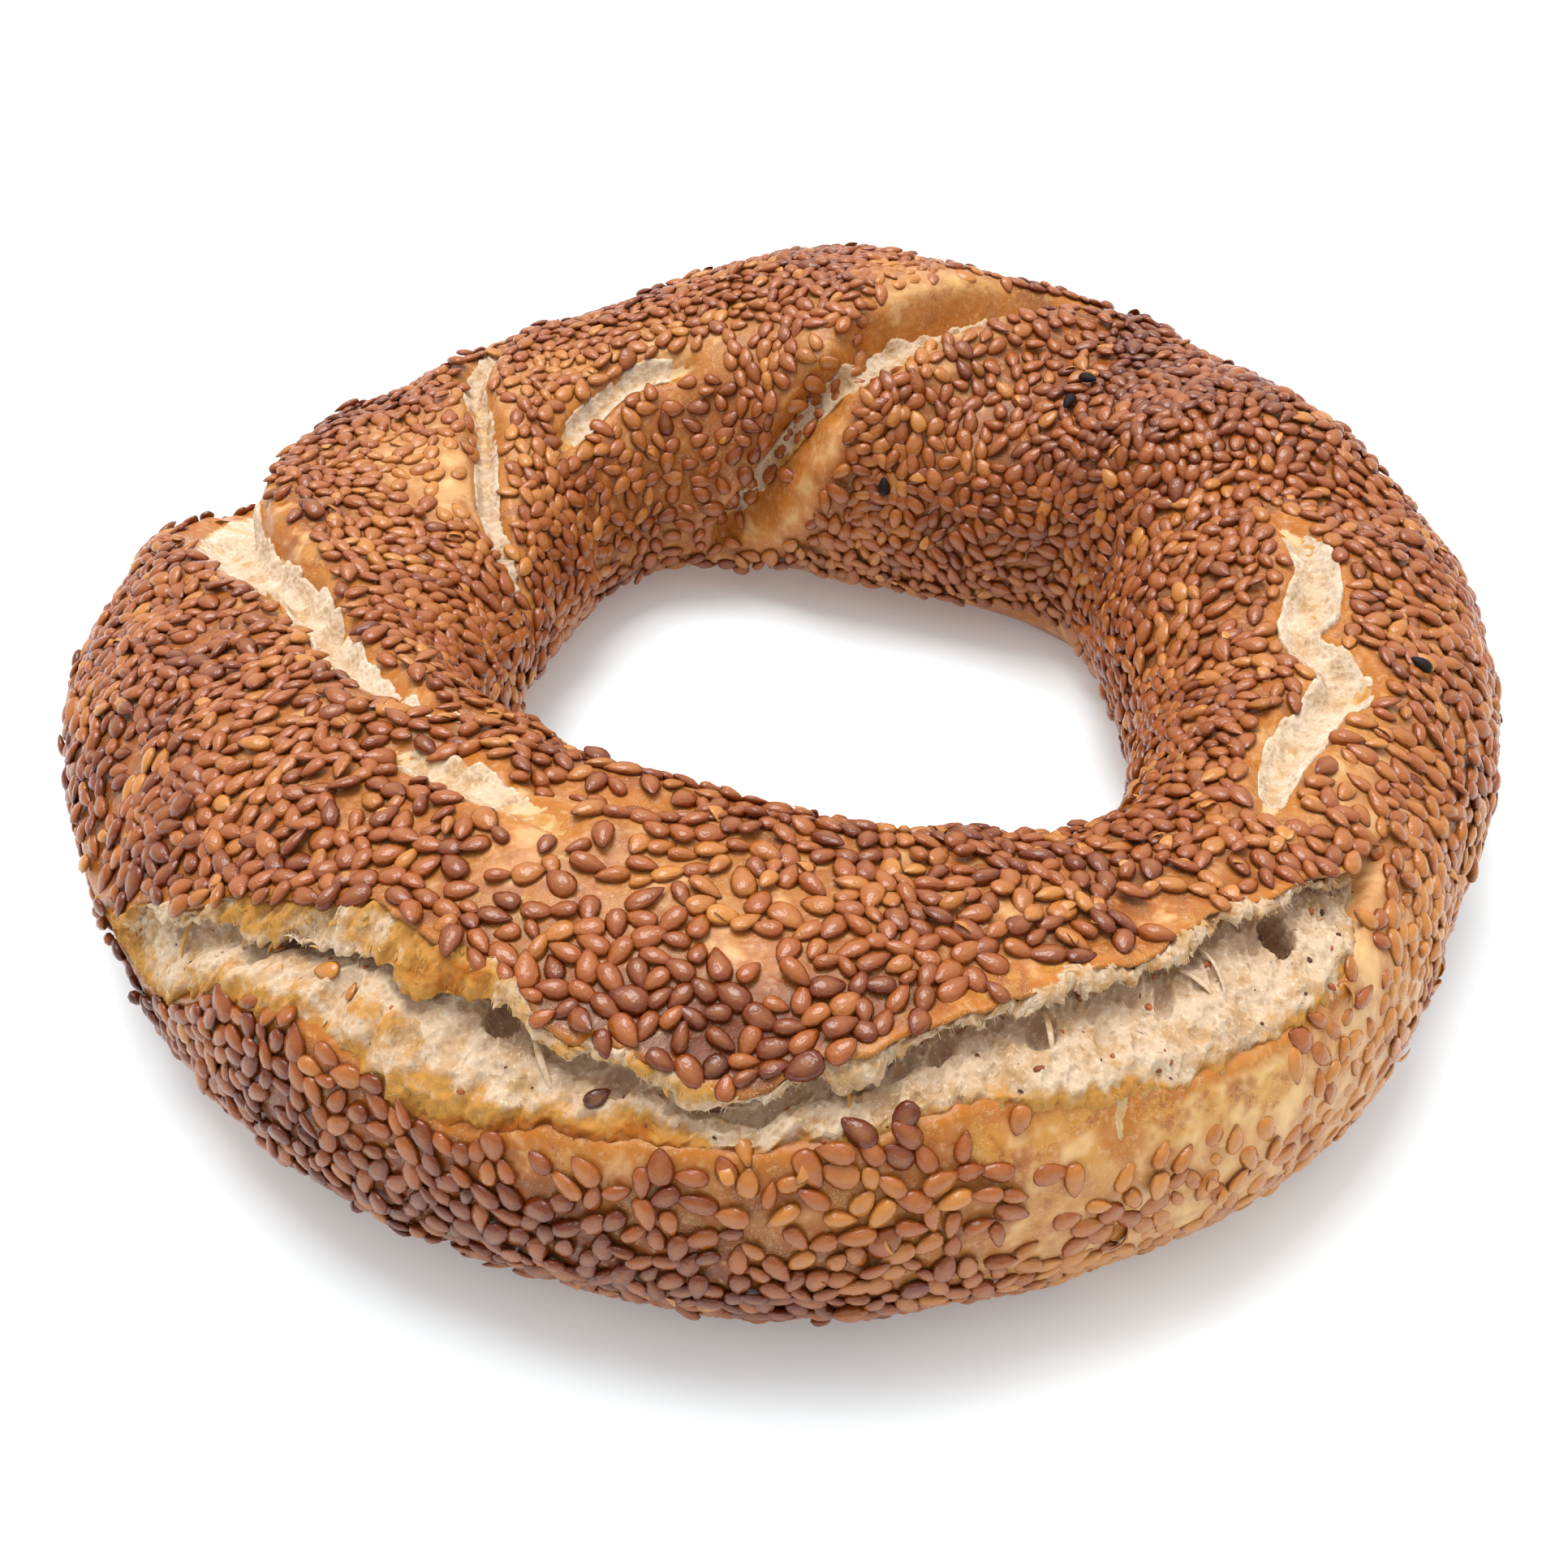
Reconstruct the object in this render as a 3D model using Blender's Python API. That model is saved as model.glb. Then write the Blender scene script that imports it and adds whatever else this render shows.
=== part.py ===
"""Simit: one closed solid of baked dough, a twisted ring split open along its front.

The ring is laid out by two angles. The turn goes round the ring's centre line, from +X
through +Y, which is the back. The tilt goes round the dough's own section: 0 on the
outer side, 90 on top, 180 facing the hole and 270 underneath. The section swells and
thins round the turn. Grooves between the twisted strands and splits in the crust are
pushed in along the section's normal, and the long tear in front is a wedge that runs in
under its upper lip. The underside is cut flat, as it was on the baking tray.
"""
import math

import bmesh
import bpy
import numpy as np

MM = 0.001                     # the sizes below are millimetres

# Section of the dough every 30 degrees of turn, starting at +X.
CENTRE_RADIUS = (55.5, 55.5, 59.0, 61.0, 66.5, 64.0, 65.0, 66.0, 67.0, 67.5, 66.5, 57.5)
HALF_WIDTH = (21.5, 20.0, 24.5, 26.0, 19.5, 23.0, 25.5, 22.5, 24.5, 23.0, 19.0, 18.5)
HALF_HEIGHT = (17.5, 20.0, 19.0, 21.5, 17.5, 16.0, 16.0, 18.0, 20.0, 19.5, 17.5, 17.0)
SQUARENESS = 0.9               # below 1 the section is a little fuller than an ellipse
FLAT_CUT = 1.6                 # dough pressed flat against the tray

# The tear in front: tilt of its upper and lower lips at these turns. Outside the tear the
# two lines go on round the ring as ordinary rows of the surface.
LIP_TURN = (0, 60, 120, 175, 203, 216, 224, 232, 240, 249, 256, 265, 271, 279, 288, 298, 306,
            312, 318, 335)
UPPER_TILT = (46, 44, 40, 24, 12, 11, 31, 50, 61, 56, 46, 41, 50, 59, 67, 73, 69, 62, 58, 50)
LOWER_TILT = (36, 34, 30, 14, 2, -6, 1, 25, 28, 19, 24, 25, 31, 38, 35, 35, 40, 50, 52, 42)
TEAR_START, TEAR_END = 198.0, 320.0
TEAR_DEPTH = 9.0
LIP_LIFT = 1.3                 # the upper lip flares out over the tear
LIP_OVERHANG = 5.0             # degrees of tilt the tear runs in under that lip

# Grooves and splits: (name, depth, rim, points), each point being turn, tilt, half width.
SPLITS = (
    ("strand_groove_left", 6.5, 1.4,
     ((137, -16, 0.8), (147, 8, 3.0), (156, 30, 4.0), (164, 46, 4.0), (172, 64, 3.6),
      (180, 82, 3.2), (188, 96, 2.6), (197, 103, 2.2), (210, 111, 2.0), (221, 115, 1.4),
      (227, 124, 0.7))),
    ("strand_groove_narrow", 3.4, 0.8,
     ((128, 56, 0.6), (135, 74, 1.2), (145, 106, 1.4), (157, 130, 1.1), (171, 165, 0.6))),
    ("strand_groove_back", 6.0, 1.5,
     ((58, 56, 1.0), (66, 74, 2.2), (74, 94, 3.4), (82, 115, 4.0), (88, 131, 3.2),
      (95, 147, 2.6), (100, 162, 2.6), (105, 179, 2.4), (111, 196, 1.2))),
    ("crust_split_right", 3.0, 0.3,
     ((6, 97, 0.8), (-3, 93, 2.2), (-17, 98, 2.6), (-24, 84, 3.2), (-34, 91, 2.6),
      (-42, 94, 2.2), (-49, 90, 0.8))),
    ("crust_split_back", 2.0, 0.3,
     ((114, 123, 0.6), (120, 120, 1.8), (128, 126, 1.8), (136, 130, 0.6))),
    ("crust_split_front", 2.0, 0.3,
     ((228, 96, 0.6), (237, 97, 2.0), (247, 92, 0.7))),
)
WALL = 3.0                     # how far a split's sides slope, in mm
# Soft valleys covered by seeds: (name, depth, half width, points of turn and tilt).
VALLEYS = (
    ("strand_valley_right", 2.8, 7.0, ((12, 76), (17, 108), (23, 145), (33, 173), (46, 205))),
    ("inner_fold_front", 1.8, 3.5, ((243, 108), (252, 114), (260, 127), (276, 131))),
)
SWELL = 0.9                    # each strand stands a little proud beside its grooves

COLUMNS = 144
ROWS_BELOW, ROWS_TEAR, ROWS_ABOVE = 9, 5, 20
TWIST_COLUMNS = 20             # the columns lean over with the twist of the strands
SEAM_TILT = -128.0             # the rows start and end here, underneath


def round_trip(values, turn):
    """Smooth periodic curve through equally spaced values."""
    table = np.asarray(values, float)
    count = len(table)
    place = np.asarray(turn, float) / (360.0 / count)
    low = np.floor(place).astype(int)
    f = place - low
    a, b, c, d = (table[(low + k) % count] for k in (-1, 0, 1, 2))
    return b + 0.5 * f * (c - a + f * (2 * a - 5 * b + 4 * c - d + f * (3 * (b - c) + d - a)))


def lip_tilt(tilts, turn):
    """Tilt of a lip at each turn, eased between the listed points and periodic."""
    x = np.array(LIP_TURN + (LIP_TURN[0] + 360,), float)
    y = np.array(tilts + (tilts[0],), float)
    turn = np.mod(turn, 360.0)
    place = np.clip(np.searchsorted(x, turn, side="right") - 1, 0, len(x) - 2)
    f = (turn - x[place]) / (x[place + 1] - x[place])
    f = f * f * (3 - 2 * f)
    return y[place] * (1 - f) + y[place + 1] * f


def smoothstep(low, high, x):
    f = np.clip((x - low) / (high - low), 0.0, 1.0)
    return f * f * (3 - 2 * f)


def signed_power(x, power):
    return np.sign(x) * np.abs(x) ** power


def section(turn, tilt, push=0.0):
    """Point of the plain ring, moved out by push along the section's normal."""
    t, s = np.radians(turn), np.radians(tilt)
    wide = round_trip(HALF_WIDTH, turn)
    high = round_trip(HALF_HEIGHT, turn)
    across = wide * signed_power(np.cos(s), SQUARENESS)
    up = high * signed_power(np.sin(s), SQUARENESS)
    nx, nz = np.cos(s) / wide, np.sin(s) / high
    size = np.hypot(nx, nz)
    r = round_trip(CENTRE_RADIUS, turn) + across + push * nx / size
    z = high + up + push * nz / size
    return np.stack([r * np.cos(t), r * np.sin(t), z], axis=-1)


def smooth_path(points, steps=12):
    """Points joined by a smooth curve, each column eased the same way."""
    p = np.array(points, float)
    p = np.vstack([2 * p[0] - p[1], p, 2 * p[-1] - p[-2]])
    out = []
    for i in range(1, len(p) - 2):
        for f in np.linspace(0, 1, steps, endpoint=False):
            a, b, c, d = p[i - 1:i + 3]
            out.append(b + 0.5 * f * (c - a + f * (2 * a - 5 * b + 4 * c - d
                                                   + f * (3 * (b - c) + d - a))))
    out.append(p[-2])
    return np.array(out)


def nearest(path, surface):
    """Distance from each surface point to a path on the plain ring, and where on it."""
    line = section(path[:, 0], path[:, 1])
    gap = np.linalg.norm(surface[..., None, :] - line, axis=-1)
    return gap.min(axis=-1), gap.argmin(axis=-1)


def relief(turn, tilt):
    """How far the crust stands out from the plain ring, in mm: grooves are negative."""
    surface = section(turn, tilt)
    push = np.zeros(surface.shape[:-1])
    for _name, depth, rim, points in SPLITS:
        path = smooth_path(points)
        gap, spot = nearest(path, surface)
        half = path[spot, 2]
        deepness = depth * np.clip(half / path[:, 2].max(), 0.0, 1.0) ** 0.6
        push -= deepness * (1 - smoothstep(0.3 * half, half + 0.5 * WALL, gap))
        push += rim * np.exp(-((gap - half - 4.0) / 3.2) ** 2)
    for _name, depth, half, points in VALLEYS:
        gap, _spot = nearest(smooth_path(points), surface)
        push -= depth * np.exp(-(gap / half) ** 2)
        push += SWELL * np.exp(-((gap - 1.9 * half) / half) ** 2)
    return push


def tear_opening(turn):
    """0 where the tear is closed and 1 where it is fully open."""
    return smoothstep(TEAR_START, TEAR_START + 16, turn) * smoothstep(TEAR_END, TEAR_END - 16, turn)


def column_turn(lean=0.0):
    """Turn of every column, a little closer together in front; lean is in columns."""
    u = (np.arange(COLUMNS) + lean) * 360.0 / COLUMNS
    return np.mod(u - math.degrees(0.16) * np.cos(np.radians(u)), 360.0)


def build_grid():
    """Rows of points round the section, at every column round the ring."""
    turn = column_turn()
    upper = lip_tilt(UPPER_TILT, turn)
    lower = lip_tilt(LOWER_TILT, turn)
    opening = tear_opening(turn)
    rows = []
    for k in range(ROWS_BELOW):
        tilt = SEAM_TILT + (lower - SEAM_TILT) * k / ROWS_BELOW
        rows.append(section(turn, tilt, relief(turn, tilt)))
    for k in range(ROWS_TEAR):
        f = k / (ROWS_TEAR - 1)
        tilt = lower + (upper + LIP_OVERHANG * opening - lower) * f
        deep = TEAR_DEPTH * opening * math.sin(0.5 * math.pi * min(1.0, 1.25 * f)) ** 1.2
        if k == ROWS_TEAR - 1:
            deep = 0.55 * TEAR_DEPTH * opening
            tilt = tilt - (1 - opening) * 0.25 * (upper - lower)
        rows.append(section(turn, tilt, relief(turn, tilt) - deep))
    for k in range(ROWS_ABOVE):
        turn = column_turn(TWIST_COLUMNS * min(1.0, k / (0.8 * ROWS_ABOVE)))
        upper = lip_tilt(UPPER_TILT, turn)
        tilt = upper + (SEAM_TILT + 360.0 - upper) * k / ROWS_ABOVE
        lift = LIP_LIFT * tear_opening(turn) * math.exp(-(k / 1.5) ** 2)
        rows.append(section(turn, tilt, relief(turn, tilt) + lift))
    return np.stack(rows, axis=1)


def settle(grid):
    """Press the underside flat, then put the box's bottom centre at the origin."""
    grid = grid.copy()
    grid[..., 2] = np.maximum(grid[..., 2], FLAT_CUT)
    low = grid.min(axis=(0, 1))
    high = grid.max(axis=(0, 1))
    return grid - np.array([(low[0] + high[0]) / 2, (low[1] + high[1]) / 2, low[2]])


def ring_object(name, grid, material):
    """One closed mesh from the grid, each quad cut along its shorter diagonal."""
    columns, rows = grid.shape[:2]
    bm = bmesh.new()
    verts = [[bm.verts.new(grid[i, j] * MM) for j in range(rows)] for i in range(columns)]

    def corner(i, j):
        if j == rows:
            return verts[(i + TWIST_COLUMNS) % columns][0]
        return verts[i % columns][j]

    for i in range(columns):
        for j in range(rows):
            a, b = corner(i, j), corner(i + 1, j)
            c, d = corner(i + 1, j + 1), corner(i, j + 1)
            if (a.co - c.co).length <= (b.co - d.co).length:
                bm.faces.new((a, b, c))
                bm.faces.new((a, c, d))
            else:
                bm.faces.new((a, b, d))
                bm.faces.new((b, c, d))
    if bm.calc_volume(signed=True) < 0:
        bmesh.ops.reverse_faces(bm, faces=bm.faces[:])
    mesh = bpy.data.meshes.new(name)
    bm.to_mesh(mesh)
    bm.free()
    mesh.materials.append(material)
    obj = bpy.data.objects.new(name, mesh)
    bpy.context.scene.collection.objects.link(obj)
    return obj


def plain_material(name, colour, roughness):
    material = bpy.data.materials.new(name)
    material.use_nodes = True
    shader = material.node_tree.nodes["Principled BSDF"]
    shader.inputs["Base Color"].default_value = (*colour, 1.0)
    shader.inputs["Roughness"].default_value = roughness
    return material


for old in list(bpy.data.objects):
    bpy.data.objects.remove(old, do_unlink=True)

crust = plain_material("baked_crust", (0.42, 0.19, 0.075), 0.55)
ring_object("simit_ring", settle(build_grid()), crust)
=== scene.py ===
# %% [markdown]
# # A simit, torn along its front
#
# A simit is a ring of bread dough: two strands twisted round each other, dipped in molasses water, rolled
# in sesame and baked hard. The crust sets first, the dough inside keeps rising, and the ring tears open
# along its front. This lesson builds the three things that the eye meets, in that order: the crust with its
# grooves and splits, the torn crumb inside them, and the thousands of sesame seeds on top.
#
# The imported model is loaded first. It is the plain faceted ring, and everything made here fits over it.
# %% Load the frame
import itertools
import math

import bmesh
import bpy
import numpy as np
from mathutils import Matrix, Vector
from mathutils.bvhtree import BVHTree
from mathutils.kdtree import KDTree


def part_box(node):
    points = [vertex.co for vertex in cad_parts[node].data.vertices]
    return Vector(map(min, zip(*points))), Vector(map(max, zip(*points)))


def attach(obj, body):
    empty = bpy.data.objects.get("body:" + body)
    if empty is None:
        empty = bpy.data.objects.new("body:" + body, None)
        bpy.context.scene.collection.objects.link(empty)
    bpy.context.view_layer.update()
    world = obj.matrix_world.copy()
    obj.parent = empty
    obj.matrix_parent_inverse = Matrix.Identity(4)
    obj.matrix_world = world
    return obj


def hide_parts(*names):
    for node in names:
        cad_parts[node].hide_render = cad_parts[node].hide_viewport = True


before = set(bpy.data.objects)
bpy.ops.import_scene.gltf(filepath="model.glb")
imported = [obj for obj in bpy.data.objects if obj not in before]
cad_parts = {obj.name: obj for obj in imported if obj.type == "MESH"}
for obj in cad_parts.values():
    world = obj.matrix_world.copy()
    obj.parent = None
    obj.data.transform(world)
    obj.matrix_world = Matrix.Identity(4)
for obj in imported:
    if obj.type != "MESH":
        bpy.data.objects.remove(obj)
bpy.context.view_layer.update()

MM = 0.001
PER_MM = 1.0 / MM
ring_low, ring_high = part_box("simit_ring")
ring_middle = np.array([(ring_low[0] + ring_high[0]) / 2, (ring_low[1] + ring_high[1]) / 2, ring_low[2]]) / MM

# %% [markdown]
# ## The ring's own measures
#
# A ring like this could be sculpted, but its form follows a rule: a rounded section, 40 to 50 mm wide, that
# is carried round a circle while its radius, width and height drift. So each size is a short list, one
# value every 30 degrees, and a smooth periodic curve runs through the list. Every place on the bread is
# then named by two angles: the turn round the ring from +X, and the tilt round the section, where 0 faces
# outwards and 90 is the top.
# %% The section and how it drifts
CENTRE_RADIUS = (55.5, 55.5, 59.0, 61.0, 66.5, 64.0, 65.0, 66.0, 67.0, 67.5, 66.5, 57.5)
HALF_WIDTH = (21.5, 20.0, 24.5, 26.0, 19.5, 23.0, 25.5, 22.5, 24.5, 23.0, 19.0, 18.5)
HALF_HEIGHT = (17.5, 20.0, 19.0, 21.5, 17.5, 16.0, 16.0, 18.0, 20.0, 19.5, 17.5, 17.0)
SQUARENESS = 0.9
FLAT_CUT = 1.6
SEAM_TILT = -128.0


def smoothstep(low, high, x):
    """0 below low, 1 above high, and an even S between them."""
    f = np.clip((x - low) / (high - low), 0.0, 1.0)
    return f * f * (3 - 2 * f)


def ease_through(a, b, c, d, f):
    """A smooth curve from b to c that minds a before them and d after, a share f of the way."""
    return b + 0.5 * f * (c - a + f * (2 * a - 5 * b + 4 * c - d + f * (3 * (b - c) + d - a)))


def band(x, start, full, fades, gone):
    """1 between full and fades, eased down to 0 at start and at gone."""
    return smoothstep(start, full, x) * smoothstep(gone, fades, x)


def round_trip(values, turn):
    """Smooth periodic curve through equally spaced values."""
    table = np.asarray(values, float)
    count = len(table)
    place = np.asarray(turn, float) / (360.0 / count)
    low = np.floor(place).astype(int)
    f = place - low
    return ease_through(*(table[(low + k) % count] for k in (-1, 0, 1, 2)), f)


def section(turn, tilt, push=0.0):
    """Point of the plain ring in mm, moved out by push along the section's normal."""
    t, s = np.radians(turn), np.radians(tilt)
    wide, high = round_trip(HALF_WIDTH, turn), round_trip(HALF_HEIGHT, turn)
    across = wide * np.sign(np.cos(s)) * np.abs(np.cos(s)) ** SQUARENESS
    up = high * np.sign(np.sin(s)) * np.abs(np.sin(s)) ** SQUARENESS
    nx, nz = np.cos(s) / wide, np.sin(s) / high
    size = np.hypot(nx, nz)
    r = round_trip(CENTRE_RADIUS, turn) + across + push * nx / size
    z = high + up + push * nz / size
    return np.stack(np.broadcast_arrays(r * np.cos(t), r * np.sin(t), z), axis=-1)


def unit(v):
    return v / np.maximum(np.linalg.norm(v, axis=-1, keepdims=True), 1e-9)


def local_axes(turn, tilt):
    """Along the ring, along the section and outwards, with mm per degree of turn and of tilt."""
    here = section(turn, tilt)
    along, round_ = section(turn + 0.5, tilt) - here, section(turn, tilt + 0.5) - here
    outward = unit(np.cross(along, round_))
    mm_turn, mm_tilt = (np.linalg.norm(step, axis=-1) / 0.5 for step in (along, round_))
    return unit(along), unit(round_), outward, mm_turn, mm_tilt


# %% [markdown]
# ## Lips, grooves and splits
#
# Three kinds of opening break the crust. The long tear runs round the front between a lower and an upper
# lip. The strand grooves are where one strand turns under the other, up to 11 mm wide and 6 mm deep. The
# splits are short cracks. A groove or split is a smooth path of (turn, tilt, half width in mm), and the
# crust sinks by its distance to the path, so one function makes them all. Torn dough never breaks in a
# clean line, so that distance gets a little noise before it is used.
# %% Lips and splits
LIP_TURN = (0, 60, 120, 175, 203, 216, 224, 232, 240, 249, 256, 265, 271, 279, 288, 298, 306, 312, 318, 335)
UPPER_TILT = (46, 44, 40, 24, 12, 11, 31, 50, 61, 56, 46, 41, 50, 59, 67, 73, 69, 62, 58, 50)
LOWER_TILT = (36, 34, 30, 14, 2, -6, 1, 25, 28, 19, 24, 25, 31, 38, 35, 35, 40, 50, 52, 42)
TEAR_START, TEAR_END = 198.0, 320.0
WALL, CRACK_WALL = 3.0, 0.8
RIM_AWAY, RIM_WIDTH = 4.0, 3.2
SPLITS = (  # piece, depth and lift of its rims in mm, path
    ("strand_groove_left", 6.5, 1.4,
     ((135, -20, 0.8), (140, -6, 2.8), (147, 8, 5.0), (156, 30, 5.8), (164, 46, 5.4), (172, 64, 4.5),
      (180, 82, 3.6), (188, 96, 2.8), (197, 103, 2.2), (210, 111, 2.0), (221, 115, 1.4), (227, 124, 0.7))),
    ("strand_groove_narrow", 3.4, 0.8,
     ((128, 56, 0.6), (135, 74, 1.2), (145, 106, 1.4), (157, 130, 1.1), (171, 165, 0.6))),
    ("strand_groove_back", 6.0, 1.5,
     ((58, 56, 1.0), (66, 74, 2.2), (74, 94, 3.4), (82, 115, 4.0), (88, 131, 3.2), (95, 147, 2.6),
      (100, 162, 2.6), (105, 179, 2.4), (111, 196, 1.2))),
    ("crust_split_right", 3.0, 0.3,
     ((6, 97, 0.6), (-3, 93, 1.6), (-11, 96, 2.3), (-17, 98, 1.5), (-24, 84, 2.7), (-30, 88, 1.6),
      (-36, 92, 2.2), (-43, 94, 1.6), (-49, 90, 0.6))),
    ("crust_split_back", 2.0, 0.3,
     ((113, 124, 0.4), (119, 120, 1.3), (125, 123, 0.8), (131, 127, 1.4), (137, 130, 0.4))),
    ("crust_split_front", 2.0, 0.3, ((227, 96, 0.3), (233, 98, 1.4), (240, 96, 1.7), (248, 92, 0.4))),
)
CRACKS = (
    ("crack_inner_ridge", 1.1, 0.1,
     ((243, 109, 0.4), (249, 111, 0.8), (256, 121, 0.9), (263, 127, 0.8), (271, 130, 0.4))),
    ("crack_in_bare_band", 0.7, 0.05, ((287, 33, 0.4), (286.6, 27, 0.35), (286.8, 21, 0.2))),
)
VALLEYS = (  # depth and half width in mm, path of (turn, tilt)
    (2.8, 7.0, ((12, 76), (17, 108), (23, 145), (33, 173), (46, 205))),
    (1.8, 3.5, ((243, 108), (252, 114), (260, 127), (276, 131))),
)
SWELL = 0.9
# Share of a groove's width where the crumb shows; the rest of it is browned crust.
CRUMB_SHARE = {"strand_groove_left": 0.85, "strand_groove_narrow": 0.7, "strand_groove_back": 0.26}


def lip_tilt(tilts, turn):
    """Tilt of a lip at each turn, eased between the listed points and periodic."""
    x = np.array(LIP_TURN + (LIP_TURN[0] + 360,), float)
    y = np.array(tilts + (tilts[0],), float)
    turn = np.mod(turn, 360.0)
    place = np.clip(np.searchsorted(x, turn, side="right") - 1, 0, len(x) - 2)
    f = (turn - x[place]) / (x[place + 1] - x[place])
    f = f * f * (3 - 2 * f)
    return y[place] * (1 - f) + y[place + 1] * f


def tear_opening(turn):
    """0 where the tear is closed and 1 where it is fully open."""
    return band(turn, TEAR_START, TEAR_START + 16, TEAR_END - 16, TEAR_END)


def smooth_path(points, steps=12):
    """Points joined by a smooth curve, each column eased the same way."""
    p = np.array(points, float)
    p = np.vstack([2 * p[0] - p[1], p, 2 * p[-1] - p[-2]])
    out = []
    for i in range(1, len(p) - 2):
        for f in np.linspace(0, 1, steps, endpoint=False):
            out.append(ease_through(*p[i - 1:i + 3], f))
    out.append(p[-2])
    return np.array(out)


def nearest(path, surface):
    """Distance in mm from each surface point to a path on the plain ring, and where on it."""
    line = section(path[:, 0], path[:, 1])
    flat = surface.reshape(-1, 3)
    gap, spot = np.empty(len(flat)), np.empty(len(flat), int)
    for part in np.array_split(np.arange(len(flat)), max(1, len(flat) // 6000)):
        away = np.linalg.norm(flat[part, None, :] - line, axis=-1)
        spot[part] = away.argmin(axis=1)
        gap[part] = away.min(axis=1)
    return gap.reshape(surface.shape[:-1]), spot.reshape(surface.shape[:-1])


def bumps(points, size, seed):
    """Smooth random heights from -1 to 1 whose hills are about size mm apart."""
    place = np.asarray(points, float) / size + 31.7 * seed
    low = np.floor(place).astype(np.int64)
    f = place - low
    f = f * f * (3 - 2 * f)
    total = np.zeros(place.shape[:-1])
    for corner in itertools.product((0, 1), repeat=3):
        cell = low + np.array(corner)
        mixed = (cell[..., 0] * 73856093) ^ (cell[..., 1] * 19349663) ^ (cell[..., 2] * 83492791)
        mixed = (mixed ^ (mixed >> 13)) * 1274126177
        mixed = (mixed ^ (mixed >> 16)) & 0xFFFF
        weight = np.prod(np.where(np.array(corner) == 1, f, 1 - f), axis=-1)
        total += weight * (mixed / 32767.5 - 1.0)
    return total


def waves(points, *kinds):
    """A sum of bumps, each given by its height, its size and its seed."""
    return sum(height * bumps(points, size, seed) for height, size, seed in kinds)


def relief(turn, tilt):
    """How far the crust stands out in mm, whether it is torn open, and how far off a split's edge is.

    The second value is 1 on torn crumb and 0 on crust. The third is in mm.
    """
    surface = section(turn, tilt)
    wander = waves(surface, (1.0, 3.2, 3), (0.5, 1.3, 4))
    push = np.zeros(surface.shape[:-1])
    inside = np.zeros_like(push)
    edge = np.full_like(push, 50.0)
    for name, depth, lift, points in SPLITS + CRACKS:
        path = smooth_path(points)
        clean_gap, spot = nearest(path, surface)
        half = path[spot, 2]
        gap = clean_gap + wander * np.clip(half / 2.5, 0.2, 1.0)
        deepness = depth * np.clip(half / path[:, 2].max(), 0.0, 1.0) ** 0.6
        wall = WALL if depth > 1.5 else CRACK_WALL
        push -= deepness * (1 - smoothstep(0.3 * half, half + 0.5 * wall, gap))
        push += lift * np.exp(-((gap - half - RIM_AWAY) / RIM_WIDTH) ** 2)
        torn_half = half * CRUMB_SHARE.get(name, 1.0)
        inside = np.maximum(inside, 1 - smoothstep(torn_half - 0.3, torn_half + 0.4, gap))
        edge = np.minimum(edge, np.maximum(np.minimum(gap - half, clean_gap - torn_half - 0.7), 0.0))
    for depth, half, points in VALLEYS:
        gap, _spot = nearest(smooth_path(points), surface)
        push -= depth * np.exp(-(gap / half) ** 2)
        push += SWELL * np.exp(-((gap - 1.9 * half) / half) ** 2)
    return push, inside, edge


# %% [markdown]
# ## The crust
#
# The crust could be a subdivided copy of the frame, but its creases would turn to mush. It is a fresh grid
# of 720 columns by 132 rows from the same rule. The rows follow the two lips, so the tear has a clean
# border that noise can then roughen. The columns lean over with the twist, as the strands do. Each point
# also keeps what the oven did to it: how close it is to a torn edge, how dark it baked, and where syrup
# pooled.
# %% Crust grid
COLUMNS, TWIST_COLUMNS = 720, 100
ROWS_BELOW, ROWS_TEAR, ROWS_ABOVE = 38, 8, 86
CLOSER_IN_FRONT = 0.3
TEAR_DEPTH, LIP_LIFT, LIP_OVERHANG = 10.0, 1.1, 9.0


def column_turn(lean=0.0):
    """Turn of every column, closer together in front; lean is in columns."""
    u = (np.arange(COLUMNS) + lean) * 360.0 / COLUMNS
    return np.mod(u - math.degrees(CLOSER_IN_FRONT) * np.cos(np.radians(u)), 360.0)


def lip_wander(turn, seed):
    """The ragged wander of a lip in degrees of tilt: long waves, then bites a millimetre wide."""
    t = np.radians(turn)
    at = np.stack([80 * np.cos(t), 80 * np.sin(t), np.full_like(t, 9.0 * seed)], axis=-1)
    return tear_opening(turn) * waves(at, (2.0, 8.0, seed + 3), (1.4, 4.5, seed), (1.3, 2.2, seed + 1),
                                      (0.7, 0.9, seed + 2))


def lips(turn):
    """Tilt of the ragged lower lip and of the ragged upper lip."""
    lower = lip_tilt(LOWER_TILT, turn) + lip_wander(turn, 11)
    return lower, lip_tilt(UPPER_TILT, turn) + lip_wander(turn, 21)


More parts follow.
